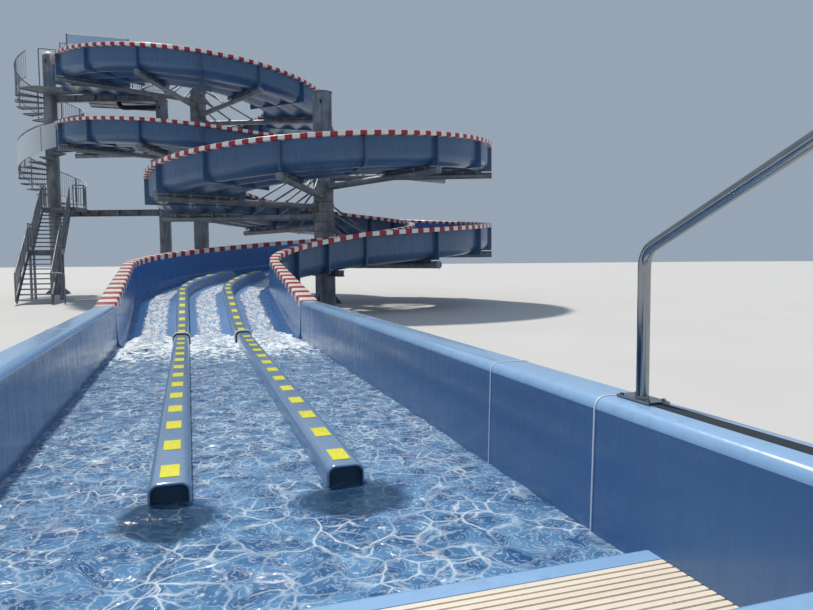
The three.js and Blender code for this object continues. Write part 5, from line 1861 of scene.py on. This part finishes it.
                rail, side_rail = t.stair_rail, 0.26
                heavy.append([up(0, 0), up(0, rail), up(1, rail)])
                heavy += [[up(k, 0), up(k, rail)] for k in (0.346, 0.654, 0.96)]
                thin.append([up(0, side_rail), up(1, side_rail)])
                count = round(self.run / t.bar_gap)
                light += [[up(k / count, side_rail), up(k / count, rail)] for k in range(1, count)]
                if bottom == 0.0 and side == 1:
                    corner = up(0, rail) + self.place.to_3x3() @ Vector((0.4, 0, 0))
                    heavy.append([up(0, rail), corner, Vector((*corner.xy, 0.0))])
        zinc_bars("stair", (heavy, thin, light), 0.09)


class BuildPlatform(bpy.types.Operator):
    """Builds the beams, the launch deck with its railing, and the start portal"""

    bl_idname = "slide.platform"
    bl_label = "Platform"

    def execute(self, context):
        self.column = middle_of("stair_column")
        self.beams()
        self.deck()
        self.rails()
        self.portal()
        return {"FINISHED"}

    def beams(self):
        """I-beams between the two thin columns."""
        a, b = self.column, middle_of("platform_column")
        run = Vector((b.x - a.x, b.y - a.y, 0))
        half = run.length / 2 - 0.26
        place = oriented(Vector(((a.x + b.x) / 2, (a.y + b.y) / 2, 0)), run)
        shape = Shape()
        deep, flange, wide, half_web, lap, plate = 0.28, 0.018, 0.1, 0.006, 0.01, 0.02
        rib, rib_gap, plate_wide = 0.095, 0.015, 0.12
        for top in (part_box("landing_beam")[1].z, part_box("platform_beam")[1].z):
            for level in (top, top - deep + flange):
                shape.block((wide, half), level - flange, level, place, 0.003)
            shape.block((half_web, half), top - deep + lap, top - lap, place)
            for end in (-half, half - plate):
                shape.box((-plate_wide, end, top - deep - lap), (plate_wide, end + plate, top), place)
            for y in (half * k for k in (-0.6, -0.2, 0.2, 0.6)):
                low_corner = (-rib, y - half_web, top - deep + rib_gap)
                shape.box(low_corner, (rib, y + half_web, top - rib_gap), place)
        tube, nodes = ["weathered galvanised tube"], ["landing_beam", "platform_beam"]
        shape.piece("column_beams", tube, "weathered_galvanised_column", nodes, 30)

    def deck(self):
        """Planked deck on an edge frame, with a plate from the head of the stair to the launch."""
        low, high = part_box("platform_deck")
        t = stairs()
        top, well, plank = high.z, self.column.x + t.spiral_radius + 0.08, 0.2
        gap, edge, thick, joist_gap, half_joist = 0.004, 0.012, 0.04, 0.6, 0.03
        shape = Shape()
        count = round((high.x - well) / plank)
        for k in range(count):
            a, b = mix(well, high.x, k / count) + gap, mix(well, high.x, (k + 1) / count) - gap
            shape.box((a, low.y + edge, top - thick), (b, high.y - edge, top), bevel=0.006)
        edges = [((well, y), (high.x, y + edge)) for y in (low.y, high.y - edge)]
        edges += [((x, low.y), (x + edge, high.y)) for x in (well, high.x - edge)]
        for a, b in edges:
            shape.box((*a, low.z), (*b, top - 0.002))
        joists = round((high.y - low.y) / joist_gap)
        for k in range(1, joists):
            y = mix(low.y, high.y, k / joists)
            far_corner = (high.x - edge, y + half_joist, top - thick - 0.002)
            shape.box((well + edge, y - half_joist, low.z + 0.01), far_corner)

        def rim(angle, radius):
            x, y = ring_point(radius, angle)
            return self.column.x + x, self.column.y + y

        # Plate with a bay for the stair's head, clear of the sleeve
        head, clear, turns = t.spiral_start + t.spiral_turn + 0.01, 0.276, (690, 660, 630)
        plan = [rim(head, clear), rim(head, t.spiral_radius), (self.column.x - 0.32, low.y), (well, low.y)]
        plan += [(well, self.column.y - 0.7), rim(math.radians(turns[0]), t.spiral_radius + 0.04)]
        plan += [rim(math.radians(a), clear) for a in turns]
        shape.slab(plan, low.z, top - 0.001)
        shape.piece("launch_deck", ["galvanised steel"], "galvanised_steel", ["platform_deck"], 30)

    def rails(self):
        low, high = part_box("platform_railing")
        t = stairs()
        inset = 0.025
        x0, x1, y0, y1 = low.x + inset, high.x - inset, low.y + inset, high.y - inset
        row = [(x0, self.column.y - 0.58), (x0, y1), (x1, y1), (x1, y0), (-6.31, y0)]
        points = [Vector((x, y, t.deck_top)) for x, y in row]
        railing("platform", [points], t.deck_rail, 1.0, ["platform_railing"])

    def portal(self):
        """Gate over the launch: posts, a board between rails, and a low bar screen to its left."""
        low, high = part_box("start_portal")
        deck = stairs().deck_top
        y = (low.y + high.y) / 2
        post, clear_width, inner = 0.03, 2.41, -9.11
        top, right, outer = high.z, high.x - post, low.x + 0.025
        left = right - clear_width
        knee, screen, hip = deck + 0.145, 10.66, 10.35

        def line(*spots):
            return [Vector((x, y, z)) for x, z in spots]

        gate = [line((x, deck), (x, top - post)) for x in (left, right)]
        bars("portal_posts", gate, post, "galvanised steel", "galvanised_steel", 12, 0.0, ["start_portal"])
        heavy = [line((inner, deck), (inner, screen), (left, screen))]
        heavy.append(line((outer, deck), (outer, hip), (inner, hip)))
        count = round((left - inner) / stairs().bar_gap)
        places = [mix(inner, left, k / count) for k in range(1, count)]
        light = [line((x, knee), (x, screen)) for x in places]
        zinc_bars("portal", (heavy, [line((inner, knee), (left, knee))], light), 0.04)
        place = upright(((left + right) / 2, y, 0))
        half = (right - left) / 2
        sheet = Shape()
        sheet.block((half, 0.014), top - 0.44, top - 0.05, place, 0.006)
        sheet.piece("portal_board", ["coated board"], "pale_board")
        rail = Shape()
        rail.block((half + post, 0.026), top - 0.06, top - 0.001, place, 0.012)
        rail.piece("portal_top_rail", ["white cap plastic"], "white_cap")


class BuildPipe(bpy.types.Operator):
    """Builds the black water pipe with its couplings"""

    bl_idname = "slide.pipe"
    bl_label = "Feed pipe"

    behind: length("Behind", "Distance of the riser behind the platform column", 0.39)
    under: length("Under", "Depth of the level run under the platform's beam", 0.47)
    run: length("Run", "Length of the level run", 2.1)

    def execute(self, context):
        low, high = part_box("feed_pipe")
        a, b = middle_of("stair_column"), middle_of("platform_column")
        span = Vector((b.x - a.x, b.y - a.y, 0)).normalized()
        behind = Vector((-span.y, span.x, 0))
        riser = Vector((b.x, b.y, 0)) + behind * self.behind
        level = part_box("platform_beam")[1].z - self.under
        corner = riser + UP * level
        outlet = corner - span * self.run
        path = [riser + UP * low.z, corner, outlet, Vector((outlet.x, outlet.y, high.z))]
        black, slot = "black polyethylene", "black_polyethylene"
        radius, bend, proud, chamfer, sleeve = 0.098, 0.28, 0.118, 0.01, 0.13
        bars("feed_pipe_run", [path], radius, black, slot, 24, bend, ["feed_pipe"])
        shape = Shape()
        for z in (0.9, 3.4, 5.9, level - 0.42):
            ends = [(radius, z), (proud, z + chamfer), (proud, z + sleeve - chamfer), (radius, z + sleeve)]
            shape.turned(riser, ends, 28)
        half_width, reach, half_height = 0.03, 0.29, 0.02
        for z in (1.6, 4.3, 7.0):
            low_corner = (-half_width, -reach, z - half_height)
            shape.box(low_corner, (half_width, 0.0, z + half_height), oriented(riser, behind))
        shape.piece("feed_pipe_couplings", [black], slot, angle=30)
        return {"FINISHED"}


class BuildHandrail(bpy.types.Operator):
    """Builds the stainless handrail on the basin's coping"""

    bl_idname = "slide.handrail"
    bl_label = "Coping handrail"

    def execute(self, context):
        low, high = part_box("coping_handrail")
        x, top = (low.x + high.x) / 2, low.z
        across, along, thick = 0.05, 0.1, 0.012
        near, far = low.y + along, high.y - along
        radius, bend, lower = 0.025, 0.09, 0.59
        steel = "satin stainless steel"
        side = ((far, top), (far, top + lower), (near, high.z - radius), (near, top))
        line = [Vector((x, y, z)) for y, z in side]
        bars("handrail_tube", [line], radius, steel, "stainless_tube", 28, bend, ["coping_handrail"])
        shape = Shape()
        bolt_x, bolt_y = 0.037, 0.08
        for y in (near, far):
            shape.block((across, along), 0.0, thick, upright((x, y, top)), 0.004)
            shape.turned((x, y), [(0.031, top + 0.01), (0.027, top + 0.02)], 28)
            for dx in (-bolt_x, bolt_x):
                for dy in (-bolt_y, bolt_y):
                    shape.turned((x + dx, y + dy), [(0.009, top + 0.011), (0.009, top + 0.019)], 6)
        shape.piece("handrail_plates", [steel], "stainless_tube", angle=30)
        return {"FINISHED"}


class BuildStage(bpy.types.Operator):
    """Builds the pale floor, the light and the camera at the photograph's angle"""

    bl_idname = "slide.stage"
    bl_label = "Stage"

    lens: FloatProperty(name="Lens", description="Focal length on a 36 mm sensor", default=29.23)
    turn: angle("Turn", "Turn of the view to the right of +Y", 18.276)
    tilt: angle("Tilt", "Tilt of the view below the horizon", 3.711)
    roll: angle("Roll", "Roll of the view", -0.423)
    place: FloatVectorProperty(name="Place", description="Stand of the view", default=(-4.24, -21.335, 1.32))

    def execute(self, context):
        self.floor(context)
        self.light(context)
        self.camera(context)
        return {"FINISHED"}

    def floor(self, context):
        mesh = bpy.data.meshes.new("studio_floor")
        reach, drop = 400.0, 0.002
        corners = [(-reach, -reach), (reach, -reach), (reach, reach), (-reach, reach)]
        mesh.from_pydata([(x, y, -drop) for x, y in corners], [], [[0, 1, 2, 3]])
        mesh.materials.append(material("studio paper"))
        placed("studio_floor", mesh)

    def light(self, context):
        """Even sky and a high sun behind the tower, shown with the contrast of a photograph."""
        world = bpy.data.worlds.new("studio")
        world.use_nodes = True
        back = world.node_tree.nodes["Background"]
        feed(back, {"Color": (*linear("#CBDCF0"), 1), "Strength": 0.52})
        context.scene.world = world
        context.scene.view_settings.view_transform = "Standard"
        lamp = bpy.data.lights.new("sun", "SUN")
        lamp.energy = 3.3
        lamp.angle = math.radians(3)
        lamp.color = linear("#FFF6E8")
        toward_sun = Vector((-0.12, 0.56, 0.82))
        placed("sun", lamp).rotation_euler = toward_sun.to_track_quat("Z", "Y").to_euler()

    def camera(self, context):
        data = bpy.data.cameras.new("camera")
        data.lens = self.lens
        data.sensor_width = 36.0
        data.clip_end = 1000.0
        made = placed("camera", data)
        place = upright(self.place, -self.turn) @ Matrix.Rotation(QUARTER - self.tilt, 4, "X")
        made.matrix_world = place @ Matrix.Rotation(self.roll, 4, "Z")
        context.scene.camera = made


BUILDERS = (
    BuildStage,
    BuildTroughs,
    BuildFlanges,
    BuildRims,
    BuildBasin,
    BuildDividers,
    BuildWater,
    BuildWeir,
    BuildColumns,
    BuildArms,
    BuildPost,
    BuildSpiralStair,
    BuildStraightStair,
    BuildPlatform,
    BuildPipe,
    BuildHandrail,
)


class SlidePanel(bpy.types.Panel):
    """Lists the builders of the slide tower"""

    bl_idname = "VIEW3D_PT_water_slide"
    bl_label = "Water slide"
    bl_space_type = "VIEW_3D"
    bl_region_type = "UI"
    bl_category = "Water slide"

    def draw(self, context):
        for builder in BUILDERS:
            self.layout.operator(builder.bl_idname)
        for group in (context.scene.slide_sizes, context.scene.stair_sizes, context.scene.slide_colours):
            box = self.layout.box()
            for name in group.bl_rna.properties.keys():
                if name not in ("rna_type", "name"):
                    box.prop(group, name)


GROUPS = {"slide_sizes": SlideSizes, "stair_sizes": StairSizes, "slide_colours": SlideColours}


def register():
    for name, group in GROUPS.items():
        bpy.utils.register_class(group)
        setattr(bpy.types.Scene, name, PointerProperty(type=group))
    for kind in (*BUILDERS, SlidePanel):
        bpy.utils.register_class(kind)


def unregister():
    for kind in (SlidePanel, *reversed(BUILDERS)):
        bpy.utils.unregister_class(kind)
    for name, group in GROUPS.items():
        delattr(bpy.types.Scene, name)
        bpy.utils.unregister_class(group)


def main():
    register()
    for builder in BUILDERS:
        family, name = builder.bl_idname.split(".")
        result = getattr(getattr(bpy.ops, family), name)()
        if result != {"FINISHED"}:
            raise RuntimeError(builder.bl_label + " did not finish")


if __name__ == "__main__":
    main()
